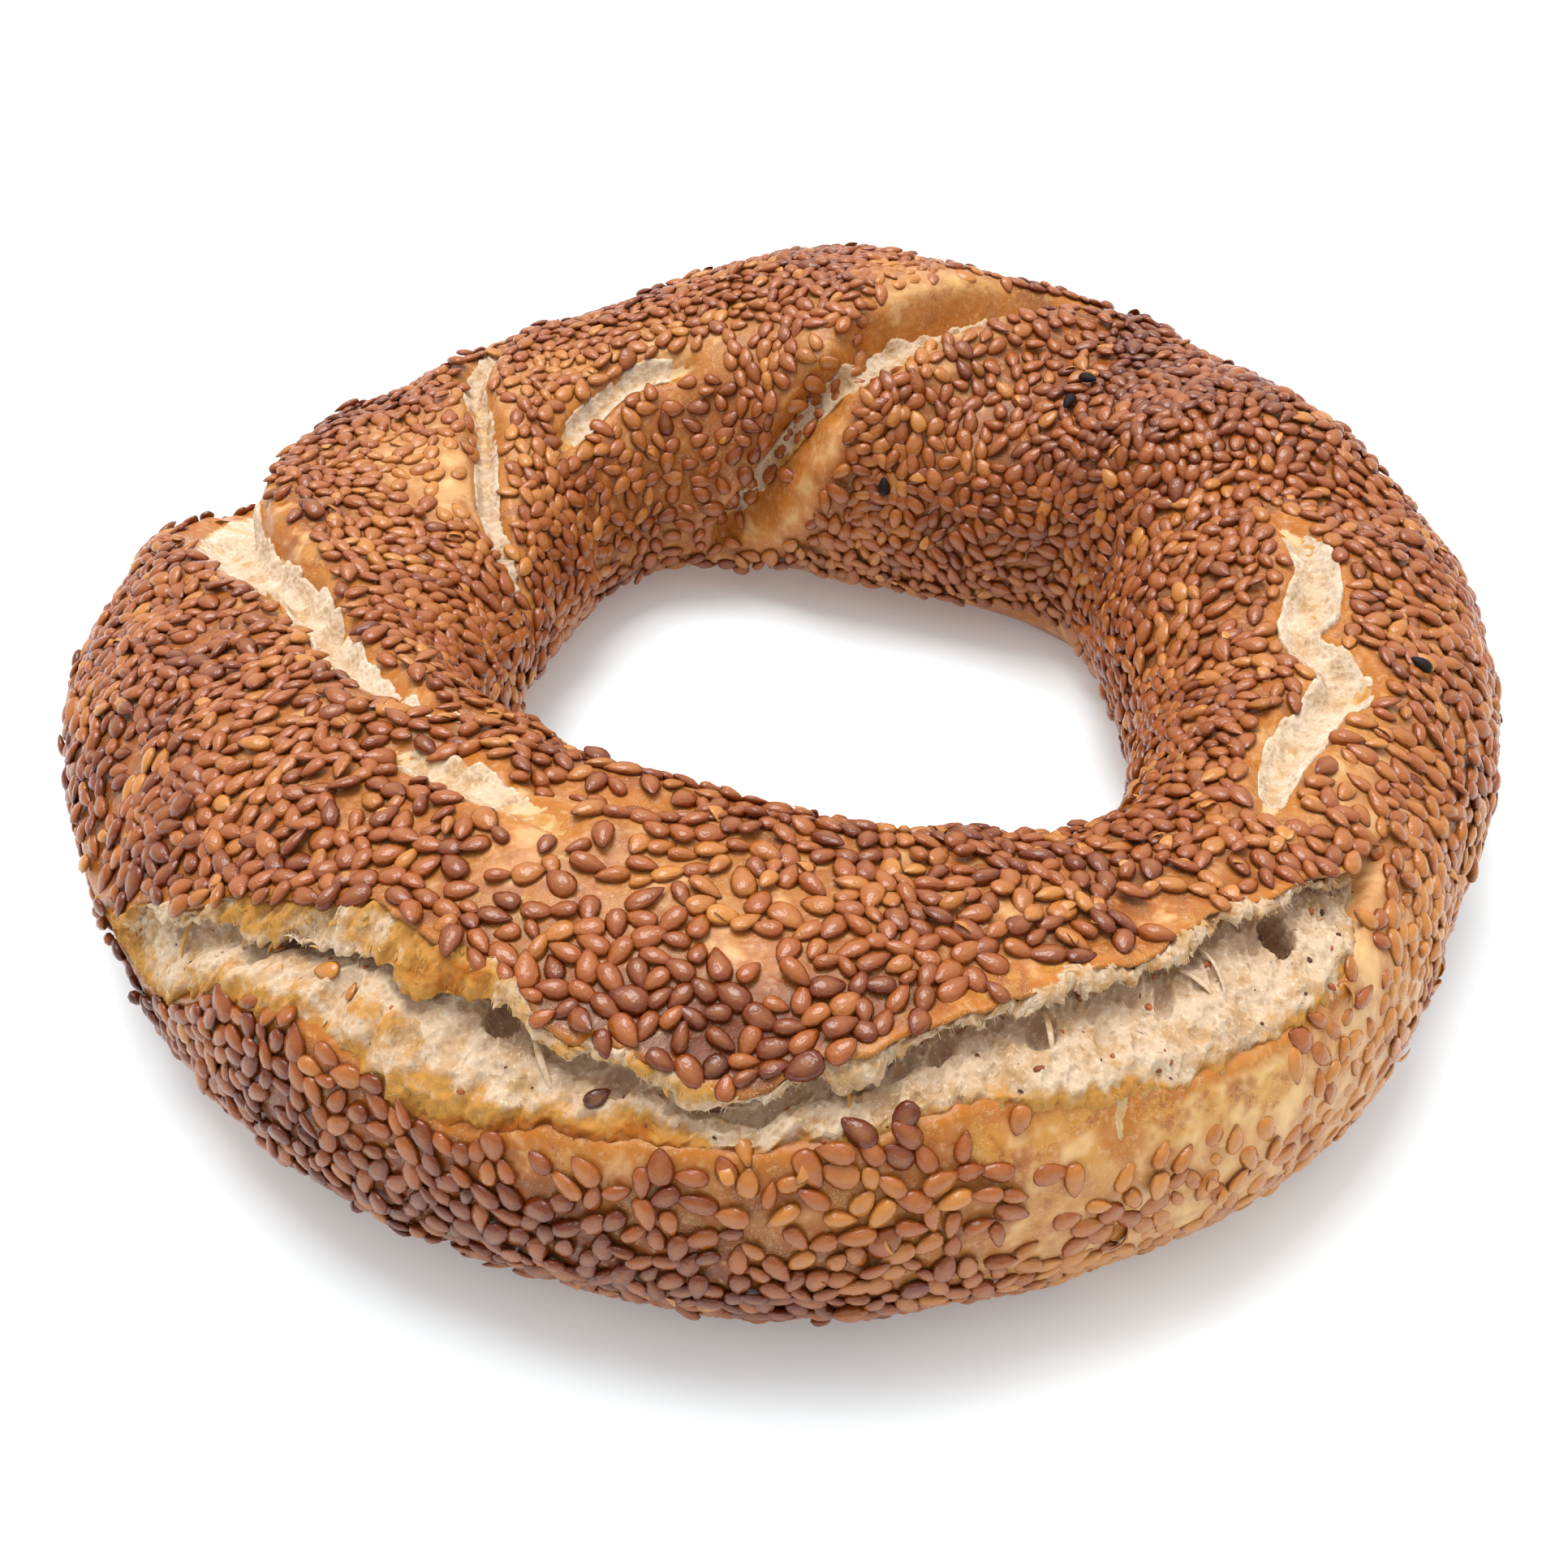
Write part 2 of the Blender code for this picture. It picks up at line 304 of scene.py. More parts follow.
def crust_rows():
    """Turn, tilt and extra push of every crust point, row by row from the seam underneath."""
    turn = column_turn()
    lower, upper = lips(turn)
    opening = tear_opening(turn)
    rows = []
    for k in range(ROWS_BELOW):
        f = k / ROWS_BELOW
        rows.append((turn, SEAM_TILT + (lower - SEAM_TILT) * (1.35 * f - 0.35 * f * f), 0 * turn))
    for k in range(ROWS_TEAR):
        f = k / (ROWS_TEAR - 3)
        tilt = lower + (upper + LIP_OVERHANG * opening - lower) * f
        deep = TEAR_DEPTH * opening * math.sin(0.5 * math.pi * min(1.0, 1.6 * f)) ** 1.1
        if k >= ROWS_TEAR - 2:
            last = k == ROWS_TEAR - 1
            deep = TEAR_DEPTH * opening * (0.2 if last else 0.55)
            tilt = upper + (0.5 if last else 1.1) * LIP_OVERHANG * opening
            tilt = tilt - (1 - opening) * 0.12 * (upper - lower)
        rows.append((turn, tilt, -deep))
    for k in range(ROWS_ABOVE):
        turn = column_turn(TWIST_COLUMNS * min(1.0, k / (0.8 * ROWS_ABOVE)))
        upper = lips(turn)[1]
        f = k / ROWS_ABOVE
        tilt = upper + (SEAM_TILT + 360.0 - upper) * (0.75 * f + 0.25 * f * f)
        rows.append((turn, tilt, LIP_LIFT * tear_opening(turn) * math.exp(-(k / 4.0) ** 2)))
    return tuple(np.stack(column, axis=1) for column in zip(*rows))


turn_grid, tilt_grid, push_grid = crust_rows()
plain_push, split_inside, split_edge = relief(turn_grid, tilt_grid)
plain = section(turn_grid, tilt_grid, plain_push + push_grid)
plain[..., 2] = np.maximum(plain[..., 2], FLAT_CUT)
low, high = plain.min(axis=(0, 1)), plain.max(axis=(0, 1))
SHIFT = ring_middle - np.array([(low[0] + high[0]) / 2, (low[1] + high[1]) / 2, low[2]])
print("crust before its skin, mm:", (high - low).round(1), "moved by", SHIFT.round(2))


def placed(points):
    """Ring points in mm, pressed flat below and moved over the frame, in metres."""
    points = np.array(points, float)
    points[..., 2] = np.maximum(points[..., 2], FLAT_CUT)
    return (points + SHIFT) * MM


# The crust's own uneven skin, from slow swells to small wrinkles.
SKIN_WAVES = ((0.55, 16.0, 1), (0.28, 6.0, 2), (0.10, 2.4, 5))
skin_waves = waves(section(turn_grid, tilt_grid), *SKIN_WAVES)
crust_points = placed(section(turn_grid, tilt_grid, plain_push + push_grid + skin_waves))


# %% [markdown]
# A mesh needs its faces wound so that they point outwards. Two helpers see to that for every grid in this
# lesson: one joins the points into quads and closes the seams it is told to close, and one makes the
# object, and turns the whole shape over if its volume comes out negative. Values that a material or a tree
# needs are stored on the points.
# %% Helpers for grids and objects
STORED_AS = {"lie": ("FLOAT_VECTOR", "vector", np.float32), "kind": ("INT", "value", np.int32)}


def grid_faces(columns, rows, wrap_columns, wrap_rows, shift=0):
    """Corner numbers of the quads of a grid whose point (i, j) is number i * rows + j."""
    i = np.arange(columns if wrap_columns else columns - 1)[:, None]
    j = np.arange(rows if wrap_rows else rows - 1)[None, :]

    def number(a, b):
        over = b // rows
        return ((a + over * shift) % columns) * rows + b % rows

    corners = number(i, j), number(i + 1, j), number(i + 1, j + 1), number(i, j + 1)
    return np.stack(corners, axis=-1).reshape(-1, 4).tolist()


def shown(name, data):
    """A new object in the scene."""
    obj = bpy.data.objects.new(name, data)
    bpy.context.scene.collection.objects.link(obj)
    return obj


def triangles(piece):
    return sum(len(face.vertices) - 2 for face in piece.data.polygons)


def store(mesh, values):
    """Keep named values on a mesh's points, as plain numbers unless STORED_AS says otherwise."""
    for key, value in values.items():
        sort, field, number = STORED_AS.get(key, ("FLOAT", "value", np.float32))
        layer = mesh.attributes.new(key, sort, "POINT")
        layer.data.foreach_set(field, np.asarray(value, number).reshape(-1))


def solid(name, points, faces, material, values):
    """An object from points in metres, faces, and named values for its points."""
    mesh = bpy.data.meshes.new(name)
    mesh.from_pydata(points.reshape(-1, 3).tolist(), [], faces)
    bm = bmesh.new()
    bm.from_mesh(mesh)
    if bm.calc_volume(signed=True) < 0:
        bmesh.ops.reverse_faces(bm, faces=bm.faces[:])
    bm.to_mesh(mesh)
    bm.free()
    store(mesh, values)
    mesh.materials.append(material)
    mesh.shade_smooth()
    piece = shown(name, mesh)
    print(name, triangles(piece), "triangles")
    return piece


# %% [markdown]
# ## What the oven did, and where the seeds are
#
# Bread colour isn't even. The cheeks of the ring that faced the heat are reddish brown, the low right side
# stayed pale gold, and syrup pooled into a purplish glaze near some edges. A painted map could hold this, but
# then it would be tied to one mesh. A few soft patches, each a place, a reach, a darkness and a glaze, say
# the same thing for the crust and for every seed that lies on it. Two of the patches are painted light:
# painted shade on the low front, and a lighter gold in the back groove that is partly painted light against
# that groove's shade.
# %% Baking patches and bare places
BAKED = (  # turn, tilt, reach in turn, reach in tilt, darkness, glaze
    (206, 40, 20, 45, 0.16, 0.24),
    (232, 0, 16, 30, 0.20, 0.40),
    (248, -5, 14, 30, 0.12, 0.20),
    (261, 50, 16, 15, 0.42, 0.16),
    (252, 84, 26, 16, -0.06, 0.0),
    # Gold in the back groove, partly the crust's own gold and partly painted light that lifts the groove's
    # shade; it also pales the seeds there.
    (74, 92, 13, 44, -0.42, 0.0),
    (293, -30, 30, 60, -0.34, 0.0),
    (312, 20, 16, 45, -0.20, 0.0),
    (262, 92, 26, 20, -0.07, 0.0),
    # Painted shade on the low front face, which gets little light; it darkens the crust and the seeds on it.
    (265, -14, 16, 24, 0.34, 0.10),
    (60, 60, 34, 60, 0.26, 0.10),
    (48, 110, 30, 50, 0.16, 0.18),
    (100, 100, 26, 50, -0.13, 0.0),
    (110, 50, 30, 30, 0.10, 0.30),
    (148, 112, 18, 40, -0.24, 0.0),
    (172, 88, 7, 7, 0.15, 0.9),
    (166, 52, 7, 7, 0.12, 0.80),
    (68, 118, 5, 7, 0.10, 0.95),
    (292, 84, 9, 8, 0.05, 0.55),
    (345, 70, 34, 50, -0.14, 0.0),
    (218, -8, 6, 10, 0.50, 0.9),
)
BARE = (  # share of the seeds left along a path of (turn, tilt, half width in mm)
    (0.06, ((154, 38, 1.6), (163, 58, 2.4), (171, 76, 2.6), (181, 93, 2.4), (192, 104, 1.8),
            (206, 110, 1.2))),
    (0.06, ((268, 44, 0.6), (273, 53, 1.2), (279, 62, 1.7), (286, 69, 1.9), (293, 74, 1.8), (299, 77, 0.8))),
    (0.04, ((275, 28, 1.2), (280, 27, 2.4), (287, 24, 3.0), (296, 26, 3.2), (302, 31, 1.6))),
    (0.10, ((56, 48, 1.2), (64, 62, 2.8), (72, 82, 3.0), (79, 102, 2.4), (85, 120, 1.8), (92, 138, 1.4))),
    (0.35, ((243, 106, 1.0), (252, 112, 2.2), (262, 123, 2.4), (276, 131, 1.6))),
    (0.30, ((318, 82, 1.5), (330, 79, 2.4), (342, 86, 2.0), (350, 90, 1.6))),
    (0.10, ((250, 15, 1.0), (254, 17, 1.4), (259, 22, 0.8))),
)
THIN = (  # turn, tilt, reach in turn, reach in tilt, share of seeds missing
    (258, 82, 19, 20, 0.36),
    (246, 76, 8, 14, 0.34),
    (287, 5, 20, 20, 0.40),
    (266, 14, 7, 8, 0.30),
    (325, 62, 10, 16, 0.10),
    (148, 104, 14, 30, 0.28),
    (104, 108, 20, 30, 0.30),
    (350, 75, 18, 26, 0.14),
    (178, 112, 16, 24, 0.20),
)


def turn_gap(a, b):
    """Degrees from one angle to another, the short way round."""
    return np.mod(a - b + 180.0, 360.0) - 180.0


def patches(turn, tilt, table):
    """Sum over soft patches, for each value that the table holds after its four places."""
    total = np.zeros((len(table[0]) - 4,) + np.shape(turn))
    for turn0, tilt0, reach_turn, reach_tilt, *values in table:
        near = np.exp(-(turn_gap(turn, turn0) / reach_turn) ** 2 - (turn_gap(tilt, tilt0) / reach_tilt) ** 2)
        total += np.array(values).reshape((-1,) + (1,) * np.ndim(turn)) * near
    return total


def oven(turn, tilt):
    """Darkness and glaze, each about 0 to 1, at a place on the ring."""
    surface = section(turn, tilt)
    dark, glaze = patches(turn, tilt, BAKED)
    underside = smoothstep(-60.0, -100.0, tilt) + smoothstep(205.0, 225.0, tilt)
    dark = 0.5 + dark + 0.10 * bumps(surface, 18.0, 6) + 0.08 * bumps(surface, 5.0, 7) + 0.1 * underside
    glaze = glaze + 0.18 * bumps(surface, 7.0, 8) * smoothstep(-0.1, 0.4, glaze)
    return np.clip(dark, 0, 1), np.clip(glaze, 0, 1)


def lip_distance(turn, tilt):
    """Distance in mm above the upper lip and below the lower lip; both are negative in the tear."""
    lower, upper = lips(turn)
    mm_per_degree = local_axes(turn, tilt)[4]
    return (tilt - upper) * mm_per_degree, (lower - tilt) * mm_per_degree


def bare_share(turn, tilt):
    """Share of the seeds that stayed, from the bare paths and the thin patches."""
    surface = section(turn, tilt)
    share = 1 - np.clip(patches(turn, tilt, THIN)[0], 0, 0.9)
    for left, points in BARE:
        path = smooth_path(points)
        gap, spot = nearest(path, surface)
        gap = gap + 0.9 * bumps(surface, 4.0, 9)
        share = np.minimum(share, left + (1 - left) * smoothstep(-0.4, 0.9, gap - path[spot, 2]))
    return share


crust_dark, crust_glaze = oven(turn_grid, tilt_grid)
above_lip, below_lip = lip_distance(turn_grid, tilt_grid)
opening = tear_opening(turn_grid)
lip_edge = np.where(above_lip > 0, above_lip, np.maximum(below_lip, 0.0))
torn_edge = np.minimum(split_edge, lip_edge + 30.0 * (1 - opening))
in_tear = np.clip(-np.maximum(above_lip, below_lip), 0, 1) * opening
crust_bare = 1 - bare_share(turn_grid, tilt_grid)
print("share of the crust that is dark:", round(float((crust_dark > 0.6).mean()), 2))


# %% [markdown]
# ## Materials: colour, and one helper for nodes
#
# Colours are written as sRGB hex, as a colour picker gives them, and one function turns them into the
# linear values that a renderer adds up. One more function adds a node with its settings and its links. What
# a node gives is kept as a Value, which takes part in sums as a number does, so a material reads as a few
# sums and a list of coats, each laid over the last.
# %% Colour and node helpers
def linear(hex_colour):
    """Linear RGBA from an sRGB hex colour."""
    srgb = np.array([int(hex_colour[i:i + 2], 16) for i in (1, 3, 5)]) / 255.0
    value = np.where(srgb <= 0.04045, srgb / 12.92, ((srgb + 0.055) / 1.055) ** 2.4)
    return (*value.tolist(), 1.0)


def fill(socket, value):
    """Give a socket a link, a hex colour or a plain value."""
    if isinstance(value, Value):
        socket.id_data.links.new(value.socket, socket)
    elif isinstance(value, str) and value.startswith("#"):
        socket.default_value = linear(value)
    else:
        socket.default_value = value


def add(tree, kind, inputs=None, out=0, **settings):
    """Add a node and give what comes out of it: settings are its own properties, inputs fill its sockets."""
    node = tree.nodes.new(kind)
    for key, value in settings.items():
        setattr(node, key, value)
    for key, value in (inputs or {}).items():
        fill(node.inputs[key], value)
    if isinstance(out, (tuple, range)):
        return [Value(node.outputs[k]) for k in out]
    return Value(node.outputs[out]) if len(node.outputs) else None


class Value:
    """What a node gives. Sums with it add the nodes that work them out."""

    def __init__(self, socket):
        self.socket = socket

    def maths(self, operation, *terms):
        return add(self.socket.id_data, "ShaderNodeMath", dict(enumerate(terms)), operation=operation)

    def __add__(self, other):
        return self.maths("ADD", self, other)

    def __sub__(self, other):
        return self.maths("SUBTRACT", self, other)

    def __rsub__(self, other):
        return self.maths("SUBTRACT", other, self)

    def __mul__(self, other):
        return self.maths("MULTIPLY", self, other)

    def __pow__(self, other):
        return self.maths("POWER", self, other)

    def eased(self, low, high):
        """0 at low, 1 at high, and an even S between them."""
        marks = {"Value": self, "From Min": low, "From Max": high}
        return add(self.socket.id_data, "ShaderNodeMapRange", marks, interpolation_type="SMOOTHSTEP")


def coats(colour, *layers):
    """A colour with others over it; each layer is a colour and how much of it shows."""
    for above, amount in layers:
        both = {"Factor": amount, 6: colour, 7: above}
        colour = add(amount.socket.id_data, "ShaderNodeMix", both, out=2, data_type="RGBA")
    return colour


def start_material(name, **sockets):
    """A material and its tree; plain values are set straight on the shader's sockets."""
    material = bpy.data.materials.new(name)
    material.use_nodes = True
    shader = material.node_tree.nodes["Principled BSDF"]
    for key, value in sockets.items():
        fill(shader.inputs[key.replace("_", " ")], value)
    return material, material.node_tree


def look_at(tree, noises, names):
    """What a material goes by: the place, noises of (mm, detail, roughness), and values on the points."""
    here = add(tree, "ShaderNodeTexCoord", out="Object")
    uneven = [add(tree, "ShaderNodeTexNoise",
                  {"Vector": here, "Scale": PER_MM / mm, "Detail": detail, "Roughness": rough})
              for mm, detail, rough in noises]
    return here, uneven, [add(tree, "ShaderNodeAttribute", out="Fac", attribute_name=name) for name in names]


def finish_material(material, colour, height=None, strength=0.0, mm=0.0):
    """Link the colour, and a height in which 1 stands for that many mm, to the material's shader."""
    tree = material.node_tree
    shader = tree.nodes["Principled BSDF"]
    fill(shader.inputs["Base Color"], colour)
    if height:
        bump = add(tree, "ShaderNodeBump", {"Strength": strength, "Distance": mm * MM, "Height": height})
        fill(shader.inputs["Normal"], bump)


# %% [markdown]
# ## Crust: dough skin browned in a hot oven
#
# The skin of baked bread is starch and sugar turned to a thin brown glass over pale dough. Syrup gives it a
# soft gloss, so its roughness is near a third, and its reflection is weak, because the skin is full of tiny
# pores. The coats are, in order: gold to brown by how dark it baked, dark between crowded seeds, partly syrup
# and partly painted shade, a rim of painted shade round each seed, bare gold, an orange line along each torn
# edge, the purplish glaze of pooled syrup, pale flecks, scorched and pale spots, fine cracks, and torn cream.
# Swells 2 mm apart and pores under a millimetre apart are bump.
# %% Crust material
crust_skin, tree = start_material("bread_crust_baked", Roughness=0.32, Specular_IOR_Level=0.24)
here, (mottle, fine, toast_spots, scorch, swells), (dark, crowd_shade, seed_rim_shade, edge, bare, glaze, crumb) = look_at(
    tree, ((3.5, 2.0, 0.55), (0.9, 2.0, 0.65), (3.2, 4.0, 0.72), (7.0, 4.0, 0.7), (2.0, 1.0, 0.55)),
    ("dark", "crowd_shade", "seed_rim_shade", "edge", "bare", "glaze", "crumb"))
uneven = dark + (mottle - 0.5) * 0.9
crowd_shade = crowd_shade * uneven.eased(0.05, 0.5)
wobble = add(tree, "ShaderNodeTexNoise", {"Vector": here, "Scale": PER_MM / 2.0, "Detail": 0.0}, out="Color")
wobbly_place = add(tree, "ShaderNodeMix", {"Factor": 0.12, 4: here, 5: wobble}, out=1, data_type="VECTOR")
crack_gap = add(tree, "ShaderNodeTexVoronoi", {"Vector": wobbly_place, "Scale": PER_MM / 5.0}, out="Distance",
                feature="DISTANCE_TO_EDGE")
syrup_and_shade_between_seeds = coats("#98541e", ("#64260a", uneven.eased(0.38, 0.78)))
golden = coats("#c1842f", ("#974e0f", toast_spots.eased(0.46, 0.58)),
               ("#ddb05e", uneven.eased(0.3, 0.0) * 0.6))
torn = coats("#d6b584", ("#bf8844", mottle.eased(0.45, 0.65)))
skin = coats(
    "#e2b97e",
    ("#b96e2e", uneven.eased(0.12, 0.58)),
    ("#773712", uneven.eased(0.5, 1.05)),
    # Dark between crowded seeds, partly syrup and partly painted shade; then a rim of painted shade round
    # each seed.
    (syrup_and_shade_between_seeds, crowd_shade * 0.8),
    ("#a9501a", seed_rim_shade * (1 - crowd_shade) * 0.55),
    (golden, bare * mottle.eased(0.35, 0.6) * 0.9),
    ("#b0681c", (edge + mottle * 3.2).eased(3.5, 1.9) * 0.85),
    ("#63301c", glaze * mottle.eased(0.3, 0.62) * 0.75),
    ("#d8b484", fine.eased(0.53, 0.70) * 0.3),
    ("#7c3a0c", scorch.eased(0.55, 0.75) * 0.55),
    ("#dcb07a", scorch.eased(0.47, 0.30) * (1 - crowd_shade) * 0.7),
    ("#f0d6a6", crack_gap.eased(0.045, 0.0) * mottle.eased(0.46, 0.6) * 0.6),
    (torn, (crumb + (fine - 0.5)).eased(0.40, 0.55)),
)
finish_material(crust_skin, skin, swells * 0.5 + fine * 0.3, 0.6, 0.5)

crust_faces = grid_faces(COLUMNS, crust_points.shape[1], True, True, TWIST_COLUMNS)
crust = solid("simit_crust", crust_points, crust_faces, crust_skin,
              {"dark": crust_dark, "glaze": crust_glaze, "edge": np.minimum(torn_edge, 10.0),
               "crumb": np.maximum(split_inside, in_tear), "bare": crust_bare})

# %% [markdown]
# ## The crumb in the long tear
#
# Inside, bread is a foam: bubbles a fraction of a millimetre to 4 mm across, stretched where the dough was
# pulled, with walls thinner than paper. A bump map can't make its hollows or its torn rim, so this is real
# relief. Its section is one curve that starts tucked under the lower lip, swells into a shelf, sinks into
# the hollow under the upper lip, comes back along the hollow's roof, and ends as the ragged fringe below
# the upper crust. The curve's depth and bulge are short lists of measures round the turn.
# %% The tear's section
HOLLOW = ((198, 0.8), (208, 1.2), (217, 1.8), (226, 2.4), (234, 3.4), (241, 3.0), (247, 2.4), (251, 3.7),
          (255, 3.4), (261, 2.4), (267, 2.6), (273, 3.2), (279, 2.8), (285, 2.4), (290, 2.8), (295, 2.2),
          (303, 3.0), (309, 1.8), (315, 1.2), (320, 0.8))
BULGE = ((198, 0.0), (215, 0.2), (228, 0.3), (240, 0.4), (250, 0.2), (262, 0.0), (275, 0.1), (290, 0.3),
         (303, 0.2), (312, 0.1), (320, 0.0))
FRINGE = ((198, 0.2), (218, 0.3), (224, 1.0), (229, 2.0), (234, 3.4), (240, 3.8), (246, 3.4), (249, 2.0),
          (252, 0.8), (258, 0.5), (266, 0.5), (271, 1.2), (275, 0.6), (284, 0.5), (291, 0.7), (296, 1.5),
          (300, 0.8), (308, 0.7), (314, 0.4), (320, 0.2))
TEAR_RADIUS = 84.0
TEAR_COLUMNS, TEAR_ROWS = 660, 124
HIDDEN_DEPTHS = (10.0, 13.0, 10.0)


def measure(table, turn):
    at, value = zip(*table)
    return np.interp(turn, at, value)


def through(points, steps):
    """Smooth curves through rows of control points: points is (columns, controls, 2)."""
    before, after = 2 * points[:, :1] - points[:, 1:2], 2 * points[:, -1:] - points[:, -2:-1]
    p = np.concatenate([before, points, after], axis=1)
    pieces = []
    for i in range(1, p.shape[1] - 2):
        f = np.linspace(0, 1, steps, endpoint=False)[None, :, None]
        pieces.append(ease_through(*(p[:, i + k:i + k + 1] for k in (-1, 0, 1, 2)), f))
    pieces.append(p[:, -2:-1])
    return np.concatenate(pieces, axis=1)


def evenly(curves, count):
    """Each curve walked in equal steps, and each curve's length."""
    step = np.linalg.norm(np.diff(curves, axis=1), axis=-1)
    run = np.concatenate([np.zeros((len(curves), 1)), np.cumsum(step, axis=1)], axis=1)
    out = np.empty((len(curves), count, 2))
    for i, curve in enumerate(curves):
        want = np.linspace(0, run[i, -1], count)
        out[i, :, 0] = np.interp(want, run[i], curve[:, 0])
        out[i, :, 1] = np.interp(want, run[i], curve[:, 1])
    return out, run[:, -1]


def sheet(across, along):
    """Places on a flat sheet, for noise that follows the torn face."""
    return np.stack([across, along, 0 * along], axis=-1)


tear_turn = np.linspace(TEAR_START + 0.6, TEAR_END - 0.4, TEAR_COLUMNS)
tear_arc = np.radians(tear_turn) * TEAR_RADIUS
opening = tear_opening(tear_turn)
lower, upper = lips(tear_turn)
mm_per_degree = local_axes(tear_turn, (lower + upper) / 2)[4]
gap = (upper - lower) * mm_per_degree
hollow = measure(HOLLOW, tear_turn) * opening
bulge = measure(BULGE, tear_turn)
drop = np.minimum(measure(FRINGE, tear_turn), 0.5 * gap)
ragged = waves(sheet(tear_arc, 0 * tear_arc), (0.7, 3.0, 41), (0.6, 1.4, 42), (0.3, 0.7, 43))
drop = np.maximum(drop + ragged, -0.6)
sink = 4.0 * (1 - opening)
one = np.ones_like(gap)
controls = np.stack([np.stack([x * one, y * one + sink], axis=-1) for x, y in (  # mm up and mm in
    (-1.8, 1.6),
    (-0.7, 0.15),
    (0.5, -0.15),
    (0.26 * gap, 0.1 - bulge),
    (0.50 * gap, 0.35 * hollow),
    (0.72 * gap, 0.85 * hollow),
    (0.90 * gap, hollow + 0.2),
    (gap + 0.6, 0.9 * hollow + 0.3),
    (gap + 1.0, 0.55 * hollow + 0.7),
    (gap + 0.3 - 0.6 * drop, 1.2 + 0.25 * hollow),
    (gap - 0.4 - drop, 0.8),
    (gap - 0.3 - 0.8 * drop, 0.1),
    (gap + 0.2 - 0.2 * drop, -0.15),
    (gap + 0.8, 0.5),
    (gap + 2.2, 2.2),
)], axis=1)
profile, profile_length = evenly(through(controls, 12), TEAR_ROWS)
print("tear: widest", round(float(gap.max()), 1), "mm, section length", profile_length.mean().round(1), "mm")

# %% [markdown]
# ## Bubbles and fibres
#
# The foam is carved, not piled up: thousands of round bubbles of random size are cut into the surface, and
# where two cuts meet they leave the sharp thin wall that torn bread has. Each bubble is stretched across
# the tear, because that is the way the dough was pulled, and fine fibres run the same way.
# %% Carving bubbles
chance = np.random.default_rng(20)
BUBBLES = (  # how many per square cm, smallest and largest radius in mm
    (200, 0.28, 0.55),
    (50, 0.5, 1.0),
    (5.0, 1.0, 2.0),
)


def carve(across, along, bubbles, named=(), stretch=1.35, lean=0.25):
    """Depth in mm that bubbles cut into a patch whose points lie at across and along, in mm."""
    depth = np.zeros(across.shape)
    column_at, row_at = across[:, 0], along.mean(axis=0)
    width, height = column_at[-1] - column_at[0], row_at[-1] - row_at[0]
    made = []
    for per_cm2, small, large in bubbles:
        count = int(per_cm2 * width * height / 100)
        radius = small + (large - small) * chance.random(count) ** 2
        made.append(np.stack([column_at[0] + width * chance.random(count),
                              row_at[0] + height * chance.random(count), radius,
                              radius * (0.15 + 0.75 * chance.random(count))], axis=1))
    for x, y, radius, shy in np.vstack(made + [np.array(named, float).reshape(-1, 4)]):
        wide, tall = 1.4 * radius * (1 + lean), stretch * radius
        left, right = np.searchsorted(column_at, (x - wide, x + wide))
        low, high = np.searchsorted(row_at, (y - tall, y + tall))
        if right - left < 2 or high - low < 2:
            continue
        dy = along[left:right, low:high] - y
        dx = across[left:right, low:high] - x - lean * dy
        ball = radius ** 2 - dx ** 2 - (dy / stretch) ** 2
        cut = np.where(ball > 0, np.sqrt(np.maximum(ball, 0.0)) - shy, 0.0)
        depth[left:right, low:high] = np.maximum(depth[left:right, low:high], cut)
    return depth


def fibres(across, along, lean=0.3):
    """Fine ridges that run along the pull, in mm."""
    skew = across - lean * along + 0.5 * bumps(sheet(across, along), 4.0, 51)
    fine = bumps(sheet(skew / 0.55, along / 3.2), 1.0, 52)
    coarse = bumps(sheet(skew / 1.3, along / 5.0), 1.0, 53)
    return 0.20 * (1 - 2 * np.abs(fine)) + 0.10 * coarse


def facing_out(points):
    """Unit normals of a grid over the torn face, turned to point out of the bread."""
    normal = unit(np.cross(np.gradient(points, axis=0), np.gradient(points, axis=1)))
    middle = np.index_exp[TEAR_COLUMNS // 2, TEAR_ROWS // 5]
    return normal if normal[middle] @ local_axes(turn2[middle], tilt2[middle])[2] > 0 else -normal


row_share = np.linspace(0, 1, TEAR_ROWS)[None, :]
across = np.repeat(tear_arc[:, None], TEAR_ROWS, axis=1)
along = row_share * profile_length.mean() * np.ones_like(across)
BIG_PORES = (  # turn, share of the way along the section, radius and shyness in mm
    (303.0, 0.46, 1.9, -2.2), (250.0, 0.52, 1.5, -0.8), (287.0, 0.36, 1.5, 0.5), (276.5, 0.47, 1.3, 0.1),
    (300.0, 0.30, 1.1, 0.4), (238.0, 0.46, 1.8, 0.3), (243.5, 0.42, 1.4, 0.4), (263.5, 0.46, 1.2, -0.4),
    (283.0, 0.45, 1.7, 0.3), (292.0, 0.48, 1.4, 0.2), (308.0, 0.40, 1.1, 0.3), (313.0, 0.36, 0.9, 0.2),
)
named = [(math.radians(at) * TEAR_RADIUS, share * profile_length.mean(), radius, shy)
         for at, share, radius, shy in BIG_PORES]
cut = carve(across, along, BUBBLES, named)
turn2 = np.repeat(tear_turn[:, None], TEAR_ROWS, axis=1)
tilt2 = lower[:, None] + profile[..., 0] / mm_per_degree[:, None]
lift2 = LIP_LIFT * opening[:, None] * smoothstep(0.5, 1.0, profile[..., 0] / np.maximum(gap[:, None], 1.0))
base_push = relief(turn2, tilt2)[0] + lift2 - profile[..., 1]
tear_base = section(turn2, tilt2, base_push)
free = band(row_share, 0.02, 0.09, 0.93, 1.0)
folds = waves(sheet(across, 1.6 * along), (0.45, 4.0, 54), (0.6, 9.0, 58))
detail = fibres(across, along) + folds - cut
tear_points = tear_base + facing_out(tear_base) * (detail * free)[..., None]
print("deepest bubble:", round(float(cut.max()), 2), "mm")

